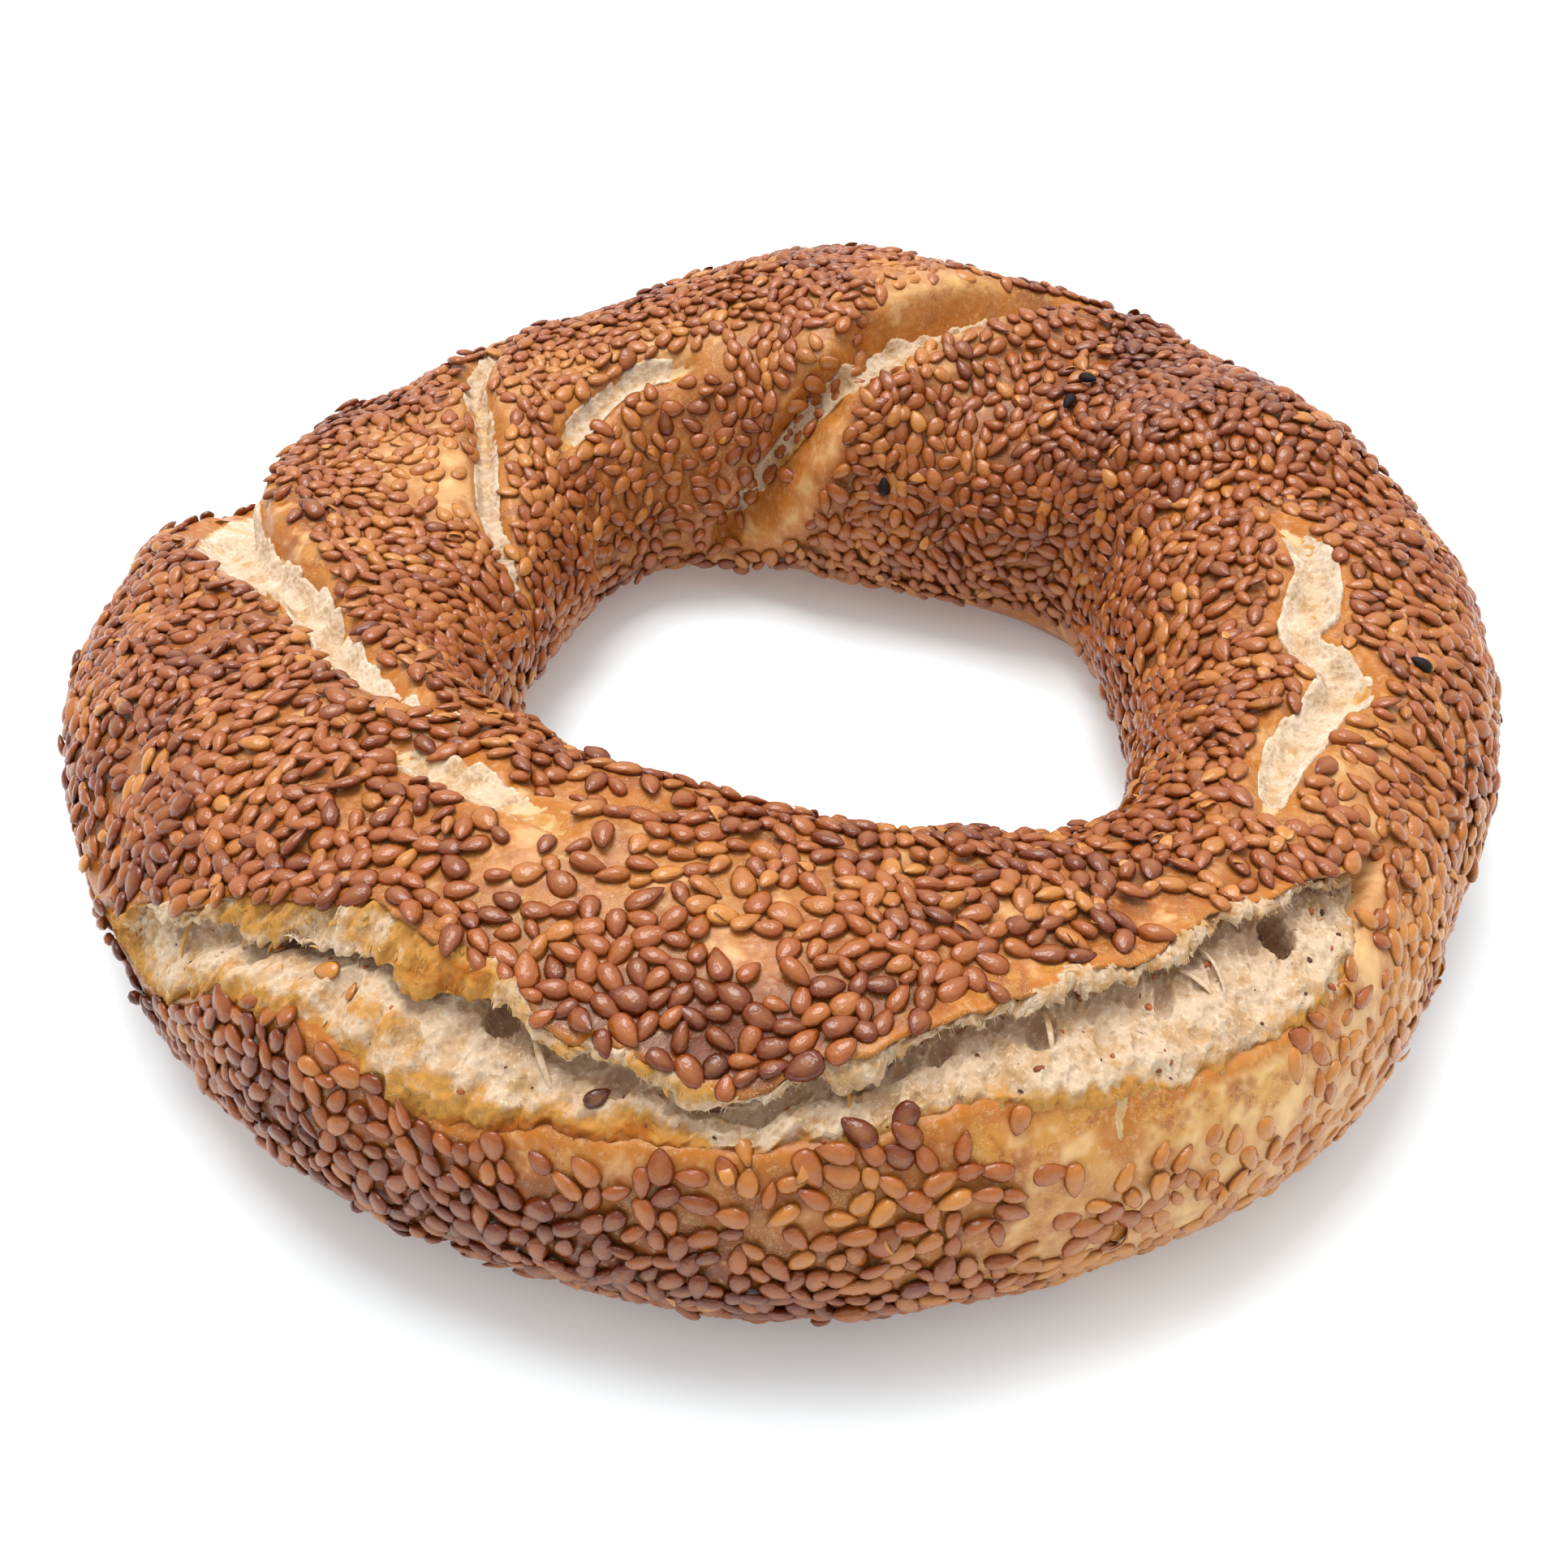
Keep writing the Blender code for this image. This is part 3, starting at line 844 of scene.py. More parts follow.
# %% [markdown]
# The tear's piece has to be closed, so three more rows run behind it, deep in the dough where nothing sees
# them, and each end is capped with one point.
# %% Closing the crumb
def closed(front, behind):
    """Points, faces and rows of a closed piece: a grid, hidden rows behind it, and a point over each end."""
    grid = np.concatenate([front] + [row[:, None] for row in behind], axis=1)
    columns, rows = grid.shape[:2]
    faces = grid_faces(columns, rows, False, True)
    for end, column in enumerate((0, columns - 1)):
        ring = [column * rows + j for j in range(rows)]
        if end == 1:
            ring.reverse()
        faces += [[ring[j], columns * rows + end, ring[(j + 1) % rows]] for j in range(rows)]
    return np.vstack([grid.reshape(-1, 3), grid[0].mean(axis=0), grid[-1].mean(axis=0)]), faces, rows


def grown(values, rows):
    """Values of the front grid's points, carried on to the hidden rows and caps."""
    columns, seen = values.shape
    more = np.repeat(values[:, -1:], rows - seen, axis=1)
    return np.concatenate([np.concatenate([values, more], axis=1).reshape(-1), [0.5, 0.5]])


points, faces, rows = closed(tear_points, [section(tear_turn, tilt2[:, row], -deep) for row, deep in zip(
    (-1, TEAR_ROWS // 2, 0), HIDDEN_DEPTHS)])
from_lip = profile[..., 0]
to_fringe = smoothstep(0.70, 0.80, row_share) * np.ones_like(across)
patchy = smoothstep(-0.15, 0.5, bumps(sheet(across, 2 * along), 9.0, 55))
patchy_fringe = smoothstep(-0.3, 0.4, bumps(sheet(across, along), 3.0, 56))
left_side = smoothstep(268.0, 255.0, turn2)
toast = np.exp(-np.maximum(from_lip, 0) / 1.2) * 0.55
toast += left_side * (0.22 + 0.75 * patchy) * smoothstep(0.62, 0.30, from_lip / gap[:, None])
toast += to_fringe * left_side * (0.25 + 0.3 * patchy_fringe)
toast += 0.25 * to_fringe * (1 - left_side)
toast += smoothstep(226.0, 212.0, turn2) * 0.5 + smoothstep(309.0, 316.0, turn2) * 0.35
toast += 0.5 * np.exp(-((turn2 - 247) / 2.2) ** 2) * smoothstep(0.5, 0.8, row_share)
# How deep each point lies in the hollow and in its bubbles; the crumb material paints shade from it, less
# under the fringe.
deepness = np.clip(profile[..., 1] / 4.5, 0, 1) * (1 - 0.5 * to_fringe) + 0.28 * cut

# %% [markdown]
# ## Crumb: set dough torn open
#
# Crumb is wet starch set to a gel: pale, matt and cloudy, so light that enters one fibre comes out of the
# next. Subsurface does that here, with red going furthest. Its colour runs from cream on the proud fibres,
# with fine pale flecks of painted highlight, to a painted shade of grey beige in the hollows, and to gold and
# orange where the oven reached the torn edge. A cell pattern 0.9 mm across stands for bubbles too small to
# carve, as bump and as small spots of painted shade.
# %% Crumb material
crumb_dough, tree = start_material("bread_crumb_torn", Roughness=0.8, Specular_IOR_Level=0.2,
                                   Subsurface_Weight=0.3, Subsurface_Scale=0.7 * MM,
                                   Subsurface_Radius=(1.0, 0.7, 0.4))
here, (mottle, fine, cloudy), (browned, sunk) = look_at(
    tree, ((2.2, 3.0, 0.6), (0.45, 2.0, 0.6), (3.0, 3.0, 0.6)), ("toast", "deep"))
foam = add(tree, "ShaderNodeTexVoronoi", {"Vector": here, "Scale": PER_MM / 0.9}, out="Distance")
gold = browned + (mottle - 0.5) * 1.3
dough = coats(
    "#d0b79b",
    ("#bc986e", cloudy.eased(0.42, 0.66)),
    # Painted shade, grey beige, where the crumb lies deep; below 0 the value makes the crumb pale instead.
    ("#ad8d72", sunk.eased(0.25, 1.1)),
    ("#ede3d2", sunk.eased(0.0, -0.8) * 0.85),
    ("#bd8840", gold.eased(0.15, 0.55)),
    ("#a25d18", gold.eased(0.6, 1.1)),
    ("#8a4519", gold.eased(1.1, 1.6)),
    # Painted highlight on fine flecks, away from the toasted parts.
    ("#efe2c8", fine.eased(0.55, 0.7) * gold.eased(0.5, 0.1) * 0.45),
    # Painted shade in the small pores of the cell pattern.
    ("#a27c4e", foam.eased(0.40, 0.12) * 0.4),
)
finish_material(crumb_dough, dough, foam * 1.1 + fine * 0.6, 0.42, 0.6)

tear_crumb = solid("crumb_front_tear", placed(points), faces, crumb_dough,
                   {"toast": grown(toast, rows), "deep": grown(deepness, rows)})

# %% [markdown]
# ## Crumb in the grooves and splits
#
# The grooves between the strands and the short splits show the same torn dough. Each one is a strip that
# follows its path: its middle lies just above the groove's floor and its sides dive under the crust, so the
# ragged crust edge is what borders it. The same bubbles and fibres are cut into it.
# %% Crumb strips
STRIP_STEP = 0.34
STRIP_BUBBLES = ((70, 0.3, 0.7), (9, 0.7, 1.2))
STRIP_LOOK = {  # gold along one side, and paleness
    "strand_groove_left": (0.0, 0.34),
    "strand_groove_narrow": (0.0, 0.2),
    "strand_groove_back": (1.0, 0.1),
    "crust_split_front": (0.0, 0.0),
}


def crumb_strip(points, depth, gold_side, paleness):
    """Closed strip of crumb along a path of (turn, tilt, half width): points, faces, toast, deep."""
    path = smooth_path(points, 40)
    line = section(path[:, 0], path[:, 1])
    run = np.concatenate([[0], np.cumsum(np.linalg.norm(np.diff(line, axis=0), axis=-1))])
    columns = max(8, int(run[-1] / STRIP_STEP))
    want = np.linspace(0.0, run[-1], columns)
    turn, tilt, half = (np.interp(want, run, path[:, k]) for k in range(3))
    e_turn, e_tilt, out, mm_turn, mm_tilt = local_axes(turn, tilt)
    forward = unit(np.gradient(section(turn, tilt), axis=0))
    side = unit(np.cross(out, forward))
    widest = half.max() + 1.6
    rows = max(9, int(2 * widest / STRIP_STEP))
    share = np.linspace(-1, 1, rows)[None, :]
    offset = share * (half[:, None] + 1.4)
    wide_turn = turn[:, None] + offset * (np.sum(side * e_turn, axis=-1) / mm_turn)[:, None]
    wide_tilt = tilt[:, None] + offset * (np.sum(side * e_tilt, axis=-1) / mm_tilt)[:, None]
    across = np.repeat(want[:, None], rows, axis=1)
    cut = carve(across, np.repeat(share * widest + widest, columns, axis=0), STRIP_BUBBLES,
                stretch=1.5, lean=0.2)
    ends = band(want, 0.0, 4.0, run[-1] - 4.0, run[-1])
    detail = 0.8 * fibres(across, offset + widest) - 0.7 * cut
    lift = 0.55 - 2.4 * smoothstep(0.72, 1.0, np.abs(share)) - 1.2 * (1 - ends[:, None])
    surface = relief(wide_turn, wide_tilt)[0] + lift + detail * smoothstep(1.0, 0.85, np.abs(share))
    front = section(wide_turn, wide_tilt, surface)
    points, faces, rows = closed(front, [section(turn, tilt, -(depth + 3.0))])
    edge_gold = smoothstep(0.6, 0.95, np.abs(share)) * 0.45 + 0.5 * smoothstep(-0.2, 0.8, share * gold_side)
    toast = edge_gold - 0.15 + 0.2 * bumps(front, 4.0, 57)
    # Painted shade down the middle of the strip, less the strip's own paleness.
    deep = 0.3 * smoothstep(0.5, 0.0, np.abs(share)) - paleness + 0 * toast
    return points, faces, grown(toast, rows), grown(deep, rows)


strip_parts, strip_faces, count = [], [], 0
for name, depth, _lift, path in SPLITS:
    narrowed = [(at, lean, half * CRUMB_SHARE.get(name, 1.0)) for at, lean, half in path]
    points, faces, *values = crumb_strip(narrowed, depth, *STRIP_LOOK.get(name, (0.0, 0.3)))
    strip_faces += [[corner + count for corner in face] for face in faces]
    strip_parts.append((points, *values))
    count += len(points)
points, strip_toast, strip_deep = (np.concatenate(part) for part in zip(*strip_parts))
strips = solid("crumb_in_splits", placed(points), strip_faces, crumb_dough,
               {"toast": strip_toast, "deep": strip_deep})

# %% [markdown]
# ## Where each seed lies
#
# About eight thousand sesame seeds cover the ring. Scattered purely at random they would cut through each
# other, and set on a grid they would look knitted. On the real ring they were pressed on in a tray, so they
# lie flat, side by side, touching but not stacked. So the places start random, thinned by the share of
# seeds each part of the crust kept, and then the seeds push and turn each other until they lie side by
# side.
# %% Random places on the crust
SEED_LENGTH, SEED_WIDTH = 2.95, 1.86
SEEDS_PER_MM2 = 0.236
chance = np.random.default_rng(6)


def crust_area(turn, tilt):
    """Area in mm2 of one degree of turn by one degree of tilt."""
    mm_turn, mm_tilt = local_axes(turn, tilt)[3:]
    return mm_turn * mm_tilt


TRIES = 90000
turn = 360.0 * chance.random(TRIES)
tilt = SEAM_TILT + 360.0 * chance.random(TRIES)
wanted = SEEDS_PER_MM2 * crust_area(turn, tilt) * 360.0 * 360.0 / TRIES
keep = chance.random(TRIES) < wanted
turn, tilt = turn[keep], tilt[keep]


def seed_share(turn, tilt):
    """Share of a fully seeded crust that each place holds."""
    share = bare_share(turn, tilt)
    _push, inside, edge = relief(turn, tilt)
    share = share * smoothstep(0.3, 1.1, edge) * (inside < 0.3)
    above, below = lip_distance(turn, tilt)
    clear = smoothstep(-0.5, 0.5, above) + smoothstep(-0.3, 0.5, below)
    share = share * np.where(tear_opening(turn) > 0.05, np.clip(clear, 0, 1), 1.0)
    return share * smoothstep(-86.0, -62.0, tilt) * smoothstep(222.0, 202.0, tilt)


share = seed_share(turn, tilt)
keep = chance.random(len(turn)) < share
turn, tilt, share = turn[keep], tilt[keep], share[keep]
print("seeds placed at random:", len(turn))

# %% [markdown]
# Each seed is treated as an ellipse. Where two ellipses overlap, both move apart by nearly half the overlap
# and each turns a little so that its long side faces the other. Sixteen rounds are enough to look packed by
# hand.
# %% Letting the seeds push each other
ROUNDS, NEIGHBOUR_MM, ALLOWED_TOUCH = 16, 4.0, 0.90
PUSH_SHARE, SWING_SHARE = 0.45, 0.35
MOST_MOVE_MM, MOST_SWING = 0.7, 0.4
SIZE, SIZE_SPREAD, SMALLEST, LARGEST = 1.06, 0.11, 0.80, 1.32
heading = math.pi * chance.random(len(turn))
grown_size = np.clip(SIZE + SIZE_SPREAD * chance.standard_normal(len(turn)), SMALLEST, LARGEST)


def neighbour_pairs(points, reach_mm):
    """Numbers of the points that lie closer together than reach_mm, each pair once."""
    cell = np.floor(points / reach_mm).astype(np.int64)
    key = (cell[:, 0] + 512) * 1048576 + (cell[:, 1] + 512) * 1024 + cell[:, 2] + 512
    order = np.argsort(key, kind="stable")
    ordered = key[order]
    first, second = [], []
    for step in itertools.product((-1, 0, 1), repeat=3):
        other = key + step[0] * 1048576 + step[1] * 1024 + step[2]
        start, stop = np.searchsorted(ordered, other, "left"), np.searchsorted(ordered, other, "right")
        many = stop - start
        a = np.repeat(np.arange(len(points)), many)
        runs = [np.arange(s, e) for s, e in zip(start, stop) if e > s]
        b = order[np.concatenate(runs)] if runs else a
        near = (a < b) & (np.linalg.norm(points[a] - points[b], axis=1) < reach_mm)
        first.append(a[near])
        second.append(b[near])
    return np.concatenate(first), np.concatenate(second)


def ellipse_reach(long_, wide, angle):
    """Distance from an ellipse's middle to its edge, at an angle from its long side."""
    return long_ * wide / np.sqrt((wide * np.cos(angle)) ** 2 + (long_ * np.sin(angle)) ** 2)


for round_number in range(ROUNDS):
    e_turn, e_tilt, out, mm_turn, mm_tilt = local_axes(turn, tilt)
    points = section(turn, tilt)
    if round_number % 4 == 0:
        a, b = neighbour_pairs(points, NEIGHBOUR_MM)
    away = points[b] - points[a]
    distance = np.maximum(np.linalg.norm(away, axis=1), 1e-6)
    angles = []
    for who in (a, b):
        ahead, aside = np.sum(away * e_turn[who], axis=1), np.sum(away * e_tilt[who], axis=1)
        angles.append(np.arctan2(aside, ahead) - heading[who])
    touch = sum(ellipse_reach(SEED_LENGTH * half, SEED_WIDTH * half, angle)
                for half, angle in zip((grown_size[a] * 0.5, grown_size[b] * 0.5), angles))
    over = np.maximum(touch * ALLOWED_TOUCH - distance, 0.0)
    push = PUSH_SHARE * over[:, None] * away / distance[:, None]
    move, swing = np.zeros_like(points), np.zeros(len(points))
    for who, way, angle in zip((a, b), (-1, 1), angles):
        np.add.at(move, who, way * push)
        np.add.at(swing, who, -SWING_SHARE * over * np.sin(2 * angle))
    move = np.clip(move, -MOST_MOVE_MM, MOST_MOVE_MM)
    turn = np.mod(turn + np.sum(move * e_turn, axis=1) / mm_turn, 360.0)
    tilt = tilt + np.sum(move * e_tilt, axis=1) / mm_tilt
    heading = heading - np.clip(swing, -MOST_SWING, MOST_SWING)
share = seed_share(turn, tilt)
keep = share > 0.10 * chance.random(len(turn))
turn, tilt, heading, grown_size, share = (v[keep] for v in (turn, tilt, heading, grown_size, share))
print("seeds left after packing:", len(turn))

# %% [markdown]
# ## Laying the seeds on the skin
#
# A ray from outside finds the real crust under each seed, wrinkles and all. Seeds on pale dough sank in
# while it was soft, the others lie on top, and up to one in ten rides up on its neighbours at an angle.
# %% Seeds on the crust
crust_tree = BVHTree.FromObject(crust, bpy.context.evaluated_depsgraph_get())


def on_surface(turn, tilt, surface):
    """Where a ray along the section's normal meets a surface, in metres, and the blended normal."""
    start = placed(section(turn, tilt, 9.0))
    out = local_axes(turn, tilt)[2]
    spot, facing = np.empty_like(start), np.empty_like(start)
    for k, (begin, way) in enumerate(zip(start, out)):
        hit, normal, _face, _far = surface.ray_cast(Vector(begin), Vector(-way), 30 * MM)
        spot[k] = begin if hit is None else hit
        facing[k] = way if hit is None else 0.55 * np.array(normal) + 0.45 * way
    return spot, unit(facing)


def lie_angles(normal, heading, e_turn, lean):
    """Rotation of a seed: X is its flat side's normal, Z its long way towards the tip."""
    flat = unit(e_turn - np.sum(e_turn * normal, axis=-1, keepdims=True) * normal)
    cross = np.cross(normal, flat)
    tip = unit(flat * np.cos(heading)[:, None] + cross * np.sin(heading)[:, None])
    tip = unit(tip + np.sin(lean[:, 0])[:, None] * normal)
    side = unit(np.cross(tip, normal) + np.sin(lean[:, 1])[:, None] * normal)
    face = unit(np.cross(side, tip))
    side = np.cross(tip, face)
    return np.stack([np.arctan2(side[:, 2], tip[:, 2]), -np.arcsin(np.clip(face[:, 2], -1, 1)),
                     np.arctan2(face[:, 1], face[:, 0])], axis=1)


LOWEST_SEED = 1.3 * MM
RIDERS = 0.10
RISE, SUNK, RISE_SPREAD, RIDING_RISE = 0.30, 0.56, 0.08, 0.45
TONE_SPREAD, TONE_WAVES = 0.16, 0.22
KIND_SHARES = (0.21, 0.20, 0.17, 0.16, 0.14)
spot, facing = on_surface(turn, tilt, crust_tree)
clear_of_table = spot[:, 2] > 0.4 * LOWEST_SEED
turn, tilt, heading, grown_size, share, spot, facing = (
    v[clear_of_table] for v in (turn, tilt, heading, grown_size, share, spot, facing))
count = len(turn)
heading = heading + math.pi * (chance.random(count) < 0.5)
dark, glaze = oven(turn, tilt)
pale = np.clip((0.42 - dark) / 0.3, 0, 1)
riding = chance.random(count) < RIDERS * np.clip(share, 0, 1) * (1 - pale)
lean = np.radians(np.stack([6 + 4 * riding, 8 + 6 * riding], axis=1)) * chance.standard_normal((count, 2))
rise = RISE - SUNK * pale + RISE_SPREAD * chance.standard_normal(count) + RIDING_RISE * riding
seed_spot = spot + facing * (rise * MM)[:, None]
seed_spot[:, 2] = np.maximum(seed_spot[:, 2], LOWEST_SEED)
seed_angles = lie_angles(facing, heading, local_axes(turn, tilt)[0], lean)
tone = 0.5 + TONE_SPREAD * chance.standard_normal(count) + TONE_WAVES * bumps(section(turn, tilt), 6.0, 61)
tone = np.clip(tone, 0, 1)
kind = np.searchsorted(np.cumsum(KIND_SHARES), chance.random(count))
print("seeds of each kind:", np.bincount(kind))

# %% [markdown]
# The crust between close seeds is darker, partly from syrup their hulls held and partly as painted shade
# where they are crowded. Between sparse seeds it stays pale, with a small rim of painted shade round each
# seed. So each crust point now asks how far its nearest seed is, and how far its fourth nearest, and keeps
# both answers for the crust material.
# %% How crowded each crust point is
SPARSE_MM, CROWDED_MM, SEED_SHADE_RIM_MM = 4.2, 2.7, 1.7
seed_places = KDTree(count)
for number, place in enumerate(seed_spot):
    seed_places.insert(place, number)
seed_places.balance()
nearest_seeds = np.array([[found[2] for found in seed_places.find_n(place, 4)]
                          for place in crust_points.reshape(-1, 3)]) / MM
store(crust.data, {"crowd_shade": smoothstep(SPARSE_MM, CROWDED_MM, nearest_seeds[:, 3]),
                   "seed_rim_shade": np.exp(-(nearest_seeds[:, 0] / SEED_SHADE_RIM_MM) ** 4)})

# %% [markdown]
# ## One seed, and a tree that lays them
#
# A sesame seed is a flattened teardrop, about 3 mm long. It starts as a small UV sphere, because a sphere's
# rings follow the seed's length, and each ring is drawn in towards the tip. Eight thousand seeds can't each
# have many faces: 8 round by 7 rings gives 96 triangles. Geometry Nodes does the laying, because it repeats
# one shape over points and lets each point carry its own turn, size and colour. The same tree serves every
# kind of seed.
# %% The seed tree
TREE_INPUTS = (("Geometry", "Geometry"), ("Kind", "Int"), ("Length", "Float"), ("Width", "Float"),
               ("Thickness", "Float"), ("Tip pinch", "Float"), ("Bend", "Float"), ("Around", "Int"),
               ("Rings", "Int"), ("Finish", "Material"))
seed_tree = bpy.data.node_groups.new("lay_seeds", "GeometryNodeTree")
seed_tree.is_modifier = True
for socket_name, socket_kind in TREE_INPUTS:
    seed_tree.interface.new_socket(socket_name, in_out="INPUT", socket_type="NodeSocket" + socket_kind)
seed_tree.interface.new_socket("Geometry", in_out="OUTPUT", socket_type="NodeSocketGeometry")

bed_in, kind_in, length, width, thickness, pinch, bend, around, rings, finish = add(
    seed_tree, "NodeGroupInput", out=range(len(TREE_INPUTS)))
ball = add(seed_tree, "GeometryNodeMeshUVSphere", {"Segments": around, "Rings": rings, "Radius": 1.0})
place = add(seed_tree, "GeometryNodeInputPosition")
x, y, z = add(seed_tree, "ShaderNodeSeparateXYZ", {0: place}, out=(0, 1, 2))
tip_way = z.maths("MAXIMUM", z, 0.0)
blunt_way = z.maths("MAXIMUM", z * -1.0, 0.0)
waist = 1.0 - tip_way ** 1.3 * pinch + blunt_way ** 3.0 * 0.35
flatter_below = x.maths("SIGN", x) * 0.08 + 0.5
drawn = add(seed_tree, "ShaderNodeCombineXYZ", {
    0: x * flatter_below * waist * thickness - z * z * bend,
    1: y * waist * width * 0.5,
    2: (tip_way * 0.57 - blunt_way * 0.43) * length,
})
noted = add(seed_tree, "GeometryNodeStoreNamedAttribute", {"Geometry": ball, "Name": "grain", "Value": place},
            data_type="FLOAT_VECTOR", domain="POINT")
shaped = add(seed_tree, "GeometryNodeSetPosition", {"Geometry": noted, "Position": drawn})
kind_here, lie, size = (add(seed_tree, "GeometryNodeInputNamedAttribute", {"Name": name}, data_type=sort)
                        for name, sort in (("kind", "INT"), ("lie", "FLOAT_VECTOR"), ("size", "FLOAT")))
mine = add(seed_tree, "FunctionNodeCompare", {2: kind_here, 3: kind_in}, data_type="INT", operation="EQUAL")
turned = add(seed_tree, "FunctionNodeEulerToRotation", {0: lie})
laid = add(seed_tree, "GeometryNodeInstanceOnPoints",
           {"Points": bed_in, "Selection": mine, "Instance": shaped, "Rotation": turned, "Scale": size})
real = add(seed_tree, "GeometryNodeRealizeInstances", {0: laid})
smooth = add(seed_tree, "GeometryNodeSetShadeSmooth", {0: real})
finished = add(seed_tree, "GeometryNodeSetMaterial", {"Geometry": smooth, "Material": finish})
add(seed_tree, "NodeGroupOutput", {0: finished})


def lay(name, bed, shape, material, kind=0):
    """Lay one shape on a bed's points of one kind, and keep the result as a plain mesh piece."""
    carrier = shown(name + "_bed", bed)
    modifier = carrier.modifiers.new("lay", "NODES")
    modifier.node_group = seed_tree
    sockets = [item.identifier for item in seed_tree.interface.items_tree if item.in_out == "INPUT"]
    for socket, value in zip(sockets[1:], (kind, *shape, material)):
        modifier[socket] = value
    mesh = bpy.data.meshes.new_from_object(carrier.evaluated_get(bpy.context.evaluated_depsgraph_get()))
    mesh.name = name
    bpy.data.objects.remove(carrier)
    piece = shown(name, mesh)
    print(name, triangles(piece), "triangles")
    return piece


def seed_bed(spots, angles, **values):
    """Points that carry each seed's rotation and its other values; its kind is 0 unless one is given."""
    bed = bpy.data.meshes.new("seed_bed")
    bed.from_pydata(spots.tolist(), [], [])
    store(bed, {"lie": angles, "kind": np.zeros(len(spots)), **values})
    return bed


# %% [markdown]
# ## Sesame hull, toasted in place
#
# The hull of a toasted sesame seed is a thin waxy skin over oily flesh, so it has a clear sheen. It is
# darkest at its pointed tip. Its rim and underside carry painted shade, partly the hull's own darker edge,
# and its top a painted highlight. Each seed carries its own tone, and how dark the oven baked that part of
# the ring. Fine wrinkles about 0.4 mm apart are bump, drawn a little coarse.
# %% Sesame material
sesame_hull, tree = start_material("sesame_hull_toasted", Roughness=0.25, Specular_IOR_Level=0.55)
_here, (mottle, fine), (own_tone, own_dark, own_glaze) = look_at(
    tree, ((1.4, 1.0, 0.55), (0.35, 0.0, 0.55)), ("tone", "dark", "glaze"))
grain = add(tree, "ShaderNodeAttribute", out="Vector", attribute_name="grain")
up_seed, along_seed = add(tree, "ShaderNodeSeparateXYZ", {0: grain}, out=(0, 2))
toasted = (own_tone - 0.5) * (own_dark + 0.45) + own_dark + (mottle - 0.5) * 0.35
hull = coats(
    "#c48034",
    ("#9b4f19", toasted.eased(0.02, 0.5)),
    ("#6c2b08", toasted.eased(0.42, 0.95)),
    ("#441a0a", toasted.eased(0.95, 1.5)),
    ("#4e1e0e", own_glaze.eased(0.3, 1.0) * 0.45),
    ("#5e260c", along_seed.eased(0.55, 1.0) * 0.5),
    # Painted shade on the seed's rim and underside, partly the hull's darker edge.
    ("#5c2208", up_seed.eased(0.55, 0.0) * 0.55),
    # Painted highlight on the seed's top.
    ("#b47644", up_seed.eased(0.6, 1.0) * 0.35),
)
wrinkle = add(tree, "ShaderNodeTexNoise", {"Vector": grain, "Scale": 3.0, "Detail": 1.0})
finish_material(sesame_hull, hull, wrinkle + fine * 0.6, 0.35, 0.2)

SEED_KINDS = {  # piece: length, width, thickness, tip pinch, bend, faces round and rings
    "seeds_plump": (3.0, 2.0, 1.05, 0.42, 0.0, 8, 7),
    "seeds_broad": (2.9, 2.2, 0.85, 0.36, 0.05, 8, 7),
    "seeds_slim": (3.05, 1.75, 0.85, 0.44, 0.08, 8, 7),
    "seeds_pointed": (3.2, 2.05, 0.9, 0.58, 0.0, 8, 7),
    "seeds_rolled": (2.85, 1.55, 1.25, 0.44, 0.0, 8, 7),
    "seeds_small": (2.5, 1.75, 0.85, 0.38, 0.06, 8, 7),
}
bed = seed_bed(seed_spot, seed_angles, kind=kind, size=grown_size * MM, tone=tone, dark=dark, glaze=glaze)
seeds = [lay(name, bed, shape, sesame_hull, number)
         for number, (name, shape) in enumerate(SEED_KINDS.items())]

# %% [markdown]
# ## Fibres on the torn crumb
#
# Where dough is pulled apart its bubble walls snap back as tiny curled fibres, under 2 mm long and thinner
# than a hair's width across, and drawn coarser here so that they show. They catch the light along each torn
# edge and make crumb look soft. They could be hair, but hair doesn't travel in a mesh. The same tree lays
# them, with another shape. Most of them stand at the ragged fringe and along the lower lip.
# %% Fibres and shreds
SHAPES = {  # piece: length, width, thickness, tip pinch, bend, faces round and rings
    "crumb_fibres": (1.5, 0.15, 0.12, 0.7, 0.30, 4, 4),
    "crumb_shreds": (1.5, 0.75, 0.16, 0.6, 0.30, 6, 5),
    "crumb_strands": (1.0, 0.13, 0.05, 0.3, 0.12, 8, 12),
    "hull_flecks": (0.75, 0.5, 0.3, 0.3, 0.05, 5, 4),
    "hulls_torn_open": (2.5, 1.5, 0.28, 0.45, 0.55, 8, 7),
    "nigella_seeds": (2.6, 1.7, 1.3, 0.5, 0.0, 8, 7),
    "seeds_on_crumb": (3.0, 1.95, 1.0, 0.45, 0.0, 8, 7),
}
chance = np.random.default_rng(31)
crumb_out = facing_out(tear_points)
at_fringe = band(row_share, 0.62, 0.72, 0.86, 0.93)
at_lower_lip = band(row_share, 0.03, 0.07, 0.09, 0.16)
seen_part = band(row_share, 0.03, 0.06, 0.90, 0.95)
scattered = []


def scatter(name, bed, material):
    """Lay a small shape and keep it for the list of scattered pieces."""
    scattered.append(lay(name, bed, SHAPES[name], material))


